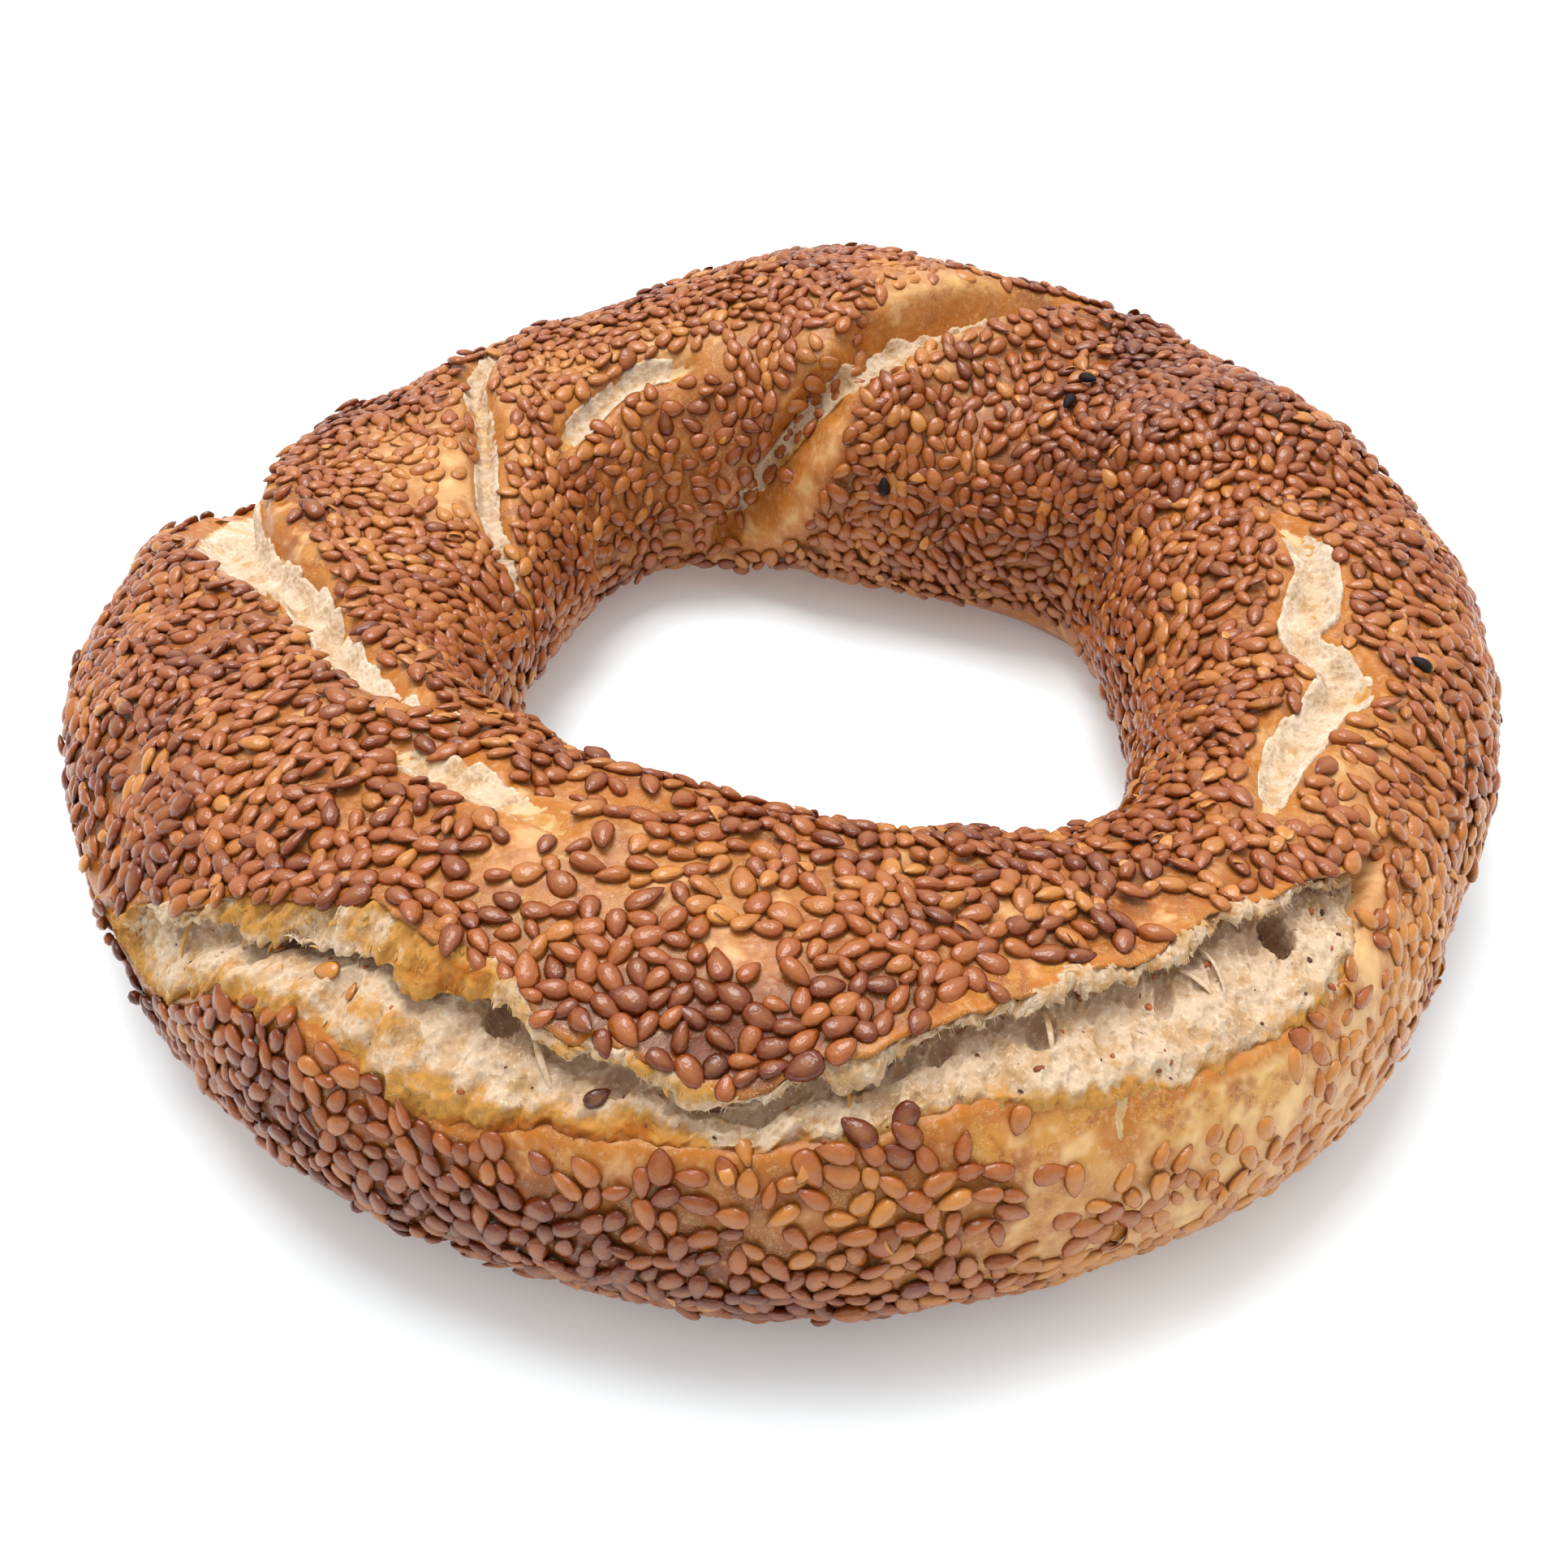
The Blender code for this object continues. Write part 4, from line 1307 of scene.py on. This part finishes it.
def crumb_bed(count, weight, spread, stand, smallest=0.4, largest=1.05):
    """Points on the torn face, more of them where weight is high, for small things that follow the pull.

    They point down across the tear, give or take spread degrees, and stand up by stand degrees.
    """
    weight = weight * np.ones_like(across)
    column, row = np.divmod(chance.choice(weight.size, count, p=weight.ravel() / weight.sum()), TEAR_ROWS)
    axes = local_axes(turn2[column, row], tilt2[column, row])
    out = unit(0.6 * crumb_out[column, row] + 0.4 * axes[2])
    heading = -0.5 * math.pi + math.radians(spread) * chance.standard_normal(count)
    lean = np.radians(np.stack([stand + 14 * chance.standard_normal(count),
                                40 * chance.standard_normal(count)], axis=1))
    size = smallest + (largest - smallest) * chance.random(count) ** 1.6
    # The fibres take part of the crumb's painted hollow shade where they stand.
    return seed_bed(placed(tear_points[column, row]), lie_angles(out, heading, axes[0], lean), size=size * MM,
                    toast=toast[column, row] + 0.15 * chance.standard_normal(count),
                    deep=0.6 * deepness[column, row], tone=chance.random(count))


fibre_bed = crumb_bed(3300, seen_part * (0.25 + 1.3 * at_fringe + 0.9 * at_lower_lip), 42, 13)
shred_bed = crumb_bed(520, seen_part * (0.08 + 1.2 * at_fringe + 1.0 * at_lower_lip), 45, 10)
scatter("crumb_fibres", fibre_bed, crumb_dough)
scatter("crumb_shreds", shred_bed, crumb_dough)

# %% [markdown]
# A few strands of dough still bridge the tear, from the fringe down to the shelf. Each one is named by its
# turn, because they are few and each is easy to see.
# %% Strands that bridge the tear
STRANDS = (  # turn, toast
    (225.5, 0.5), (231.0, 0.6), (233.4, 0.5), (253.5, 0.2), (271.0, 0.5), (283.4, 0.0), (294.6, 0.1),
    (296.4, 0.1),
)
strand_turn, strand_toast = np.array(STRANDS).T
count = len(STRANDS)
column = np.searchsorted(tear_turn, strand_turn)
reach_down = gap[column] - drop[column] - 0.50 * gap[column]
strand_tilt = lower[column] + (0.50 * gap[column] + 0.5 * reach_down) / mm_per_degree[column]
strand_spot = section(strand_turn, strand_tilt, relief(strand_turn, strand_tilt)[0] - 0.9)
axes = local_axes(strand_turn, strand_tilt)
lean = np.radians(np.stack([8 * chance.standard_normal(count), 25 * chance.standard_normal(count)], axis=1))
heading_down = -0.5 * math.pi + 0.25 * chance.standard_normal(count)
# The strands take a little of the crumb's painted hollow shade.
strand_bed = seed_bed(placed(strand_spot), lie_angles(axes[2], heading_down, axes[0], lean),
                      size=(reach_down + 1.4) * MM, toast=strand_toast, deep=np.full(count, 0.2))
scatter("crumb_strands", strand_bed, crumb_dough)

# %% [markdown]
# ## Flecks, torn hulls and black seeds
#
# A real tray is never clean. Burnt flecks of hull stuck to the crumb, some seeds left a torn open hull
# behind, and four black nigella seeds came along with the sesame. Burnt hull has lost its wax, so the
# flecks are dull and go from rust to dark brown. A nigella seed's coat is rough, so it looks black and matt,
# with hardly any shine. All of these are few, so they are cheap, and they stop the eye from reading the
# seeds as a pattern.
# %% Flecks and stray seeds
burnt_hull, tree = start_material("sesame_hull_burnt_flecks", Roughness=0.5, IOR=1.45)
fleck_tone = add(tree, "ShaderNodeAttribute", out="Fac", attribute_name="tone")
finish_material(burnt_hull, coats("#a85a2a", ("#42200f", fleck_tone.eased(0.2, 0.9))))
nigella_hull, _tree = start_material("nigella_seed_black", Roughness=0.6, Specular_IOR_Level=0.2,
                                     Base_Color="#1c1411")
fleck_bed = crumb_bed(110, seen_part * (1 - at_fringe) * smoothstep(0.75, 0.6, row_share), 90, 0, 0.35, 1.5)
scatter("hull_flecks", fleck_bed, burnt_hull)


def laid_at(turn, tilt, surface, rise, lean_by):
    """Places and rotations of seeds that lie on a surface, raised by rise in mm."""
    spot, facing = on_surface(turn, tilt, surface)
    count = len(turn)
    lean = np.radians(lean_by) * chance.standard_normal((count, 2))
    angles = lie_angles(facing, 2 * math.pi * chance.random(count), local_axes(turn, tilt)[0], lean)
    return spot + facing * (rise * MM), angles


HULLS, HULLS_CROWD_AT = 240, 298.0
by_the_end = np.exp(-(turn_gap(turn, HULLS_CROWD_AT) / 14) ** 2) * smoothstep(40, 60, tilt)
likely = share * (tilt > -20) * (1 + 5 * by_the_end)
some = chance.choice(len(turn), HULLS, replace=False, p=likely / np.sum(likely))
hull_bed = seed_bed(*laid_at(turn[some], tilt[some], crust_tree, 0.75, 25),
                    size=(0.7 + 0.4 * chance.random(HULLS)) * MM, tone=-0.2 + 0.5 * chance.random(HULLS),
                    dark=dark[some] - 0.15, glaze=np.zeros(HULLS))
scatter("hulls_torn_open", hull_bed, sesame_hull)

NIGELLA = ((52, 107), (51, 120), (81, 172), (342, 65))  # turn, tilt
nigella_turn, nigella_tilt = np.array(NIGELLA, float).T
nigella_bed = seed_bed(*laid_at(nigella_turn, nigella_tilt, crust_tree, 1.25, 6),
                       size=np.full(len(NIGELLA), MM))
scatter("nigella_seeds", nigella_bed, nigella_hull)

STRAYS = (  # turn, tilt, size, tone, glaze of seeds that lie on the crumb
    (257.2, 34.0, 0.85, 1.5, 0.9), (238.0, 43.0, 1.0, -0.3, 0.0), (240.5, 40.5, 0.6, 0.2, 0.0),
    (274.6, 36.0, 1.15, 0.9, 0.9), (272.2, 31.5, 1.2, 0.8, 0.9), (233.0, 40.0, 0.7, 0.1, 0.0),
)
stray_turn, stray_tilt, stray_size, stray_tone, stray_glaze = np.array(STRAYS).T
crumb_tree = BVHTree.FromObject(tear_crumb, bpy.context.evaluated_depsgraph_get())
stray_bed = seed_bed(*laid_at(stray_turn, stray_tilt, crumb_tree, 0.35, 10), size=stray_size * MM,
                     tone=stray_tone, dark=np.full(len(STRAYS), 0.5), glaze=stray_glaze)
scatter("seeds_on_crumb", stray_bed, sesame_hull)

# %% [markdown]
# ## Put the pieces on the frame
#
# The ring has no joints, so every piece rides on its one body, and the crust stands in for the faceted
# ring.
# %% Pieces ride on the body
bread = [crust, tear_crumb, strips, *seeds, *scattered]
for piece in bread:
    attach(piece, "root")
    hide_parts("simit_ring")
print(len(bread), "pieces,", sum(triangles(piece) for piece in bread), "triangles")

# %% [markdown]
# ## A white table, soft light and the camera
#
# Food on white is lit by one big soft window behind and above, and by a white room that is brighter
# overhead and at the back. The table is plain paper white with a little light of its own, so it burns out
# to pure white, except for the soft shade where the ring shuts out the room. A room this even needs no
# sampling map.
# %% Stage, light and camera
paper, _tree = start_material("table_paper_white", Roughness=0.9, Base_Color="#e6eef1",
                              Emission_Color="#ffffff", Emission_Strength=0.16)
table = shown("table", bpy.data.meshes.new("table"))
table.data.from_pydata([(-6, -6, 0), (6, -6, 0), (6, 6, 0), (-6, 6, 0)], [], [(0, 1, 2, 3)])
table.data.materials.append(paper)

sky = bpy.data.worlds.new("white_room")
sky.use_nodes = True
room = sky.node_tree
way = add(room, "ShaderNodeTexCoord", out="Generated")
back, up = add(room, "ShaderNodeSeparateXYZ", {0: way}, out=(1, 2))
brightness = add(room, "ShaderNodeMapRange", {"Value": up + back * 0.2, "To Min": 0.5, "To Max": 1.31})
fill(room.nodes["Background"].inputs["Color"], "#ffffff")
fill(room.nodes["Background"].inputs["Strength"], brightness)
bpy.context.scene.world = sky
sky.cycles.sampling_method = "NONE"


def aimed(name, data, place, target):
    """A light or camera at a place in metres, turned to look at a target."""
    obj = shown(name, data)
    obj.location = place
    obj.rotation_euler = (Vector(target) - Vector(place)).to_track_quat("-Z", "Y").to_euler()
    return obj


window = bpy.data.lights.new("window_above", "AREA")
window.size = 0.65
window.energy = 10.0
aimed("window_above", window, (-0.15, 0.12, 1.1), (0, 0, 0))

ELEVATION, DISTANCE, AIM_HEIGHT = math.radians(34.0), 240.0, 17.0
eye = Vector((SHIFT[0], SHIFT[1] - math.cos(ELEVATION) * DISTANCE,
              SHIFT[2] + AIM_HEIGHT + math.sin(ELEVATION) * DISTANCE)) * MM
aim = Vector((SHIFT[0] - 6.0, SHIFT[1] - 22.0, SHIFT[2] + AIM_HEIGHT)) * MM
lens = bpy.data.cameras.new("camera")
lens.sensor_width, lens.lens, lens.clip_start = 36.0, 45.19, 0.01
bpy.context.scene.camera = aimed("camera", lens, eye, aim)
bpy.context.scene.view_settings.view_transform = "Standard"
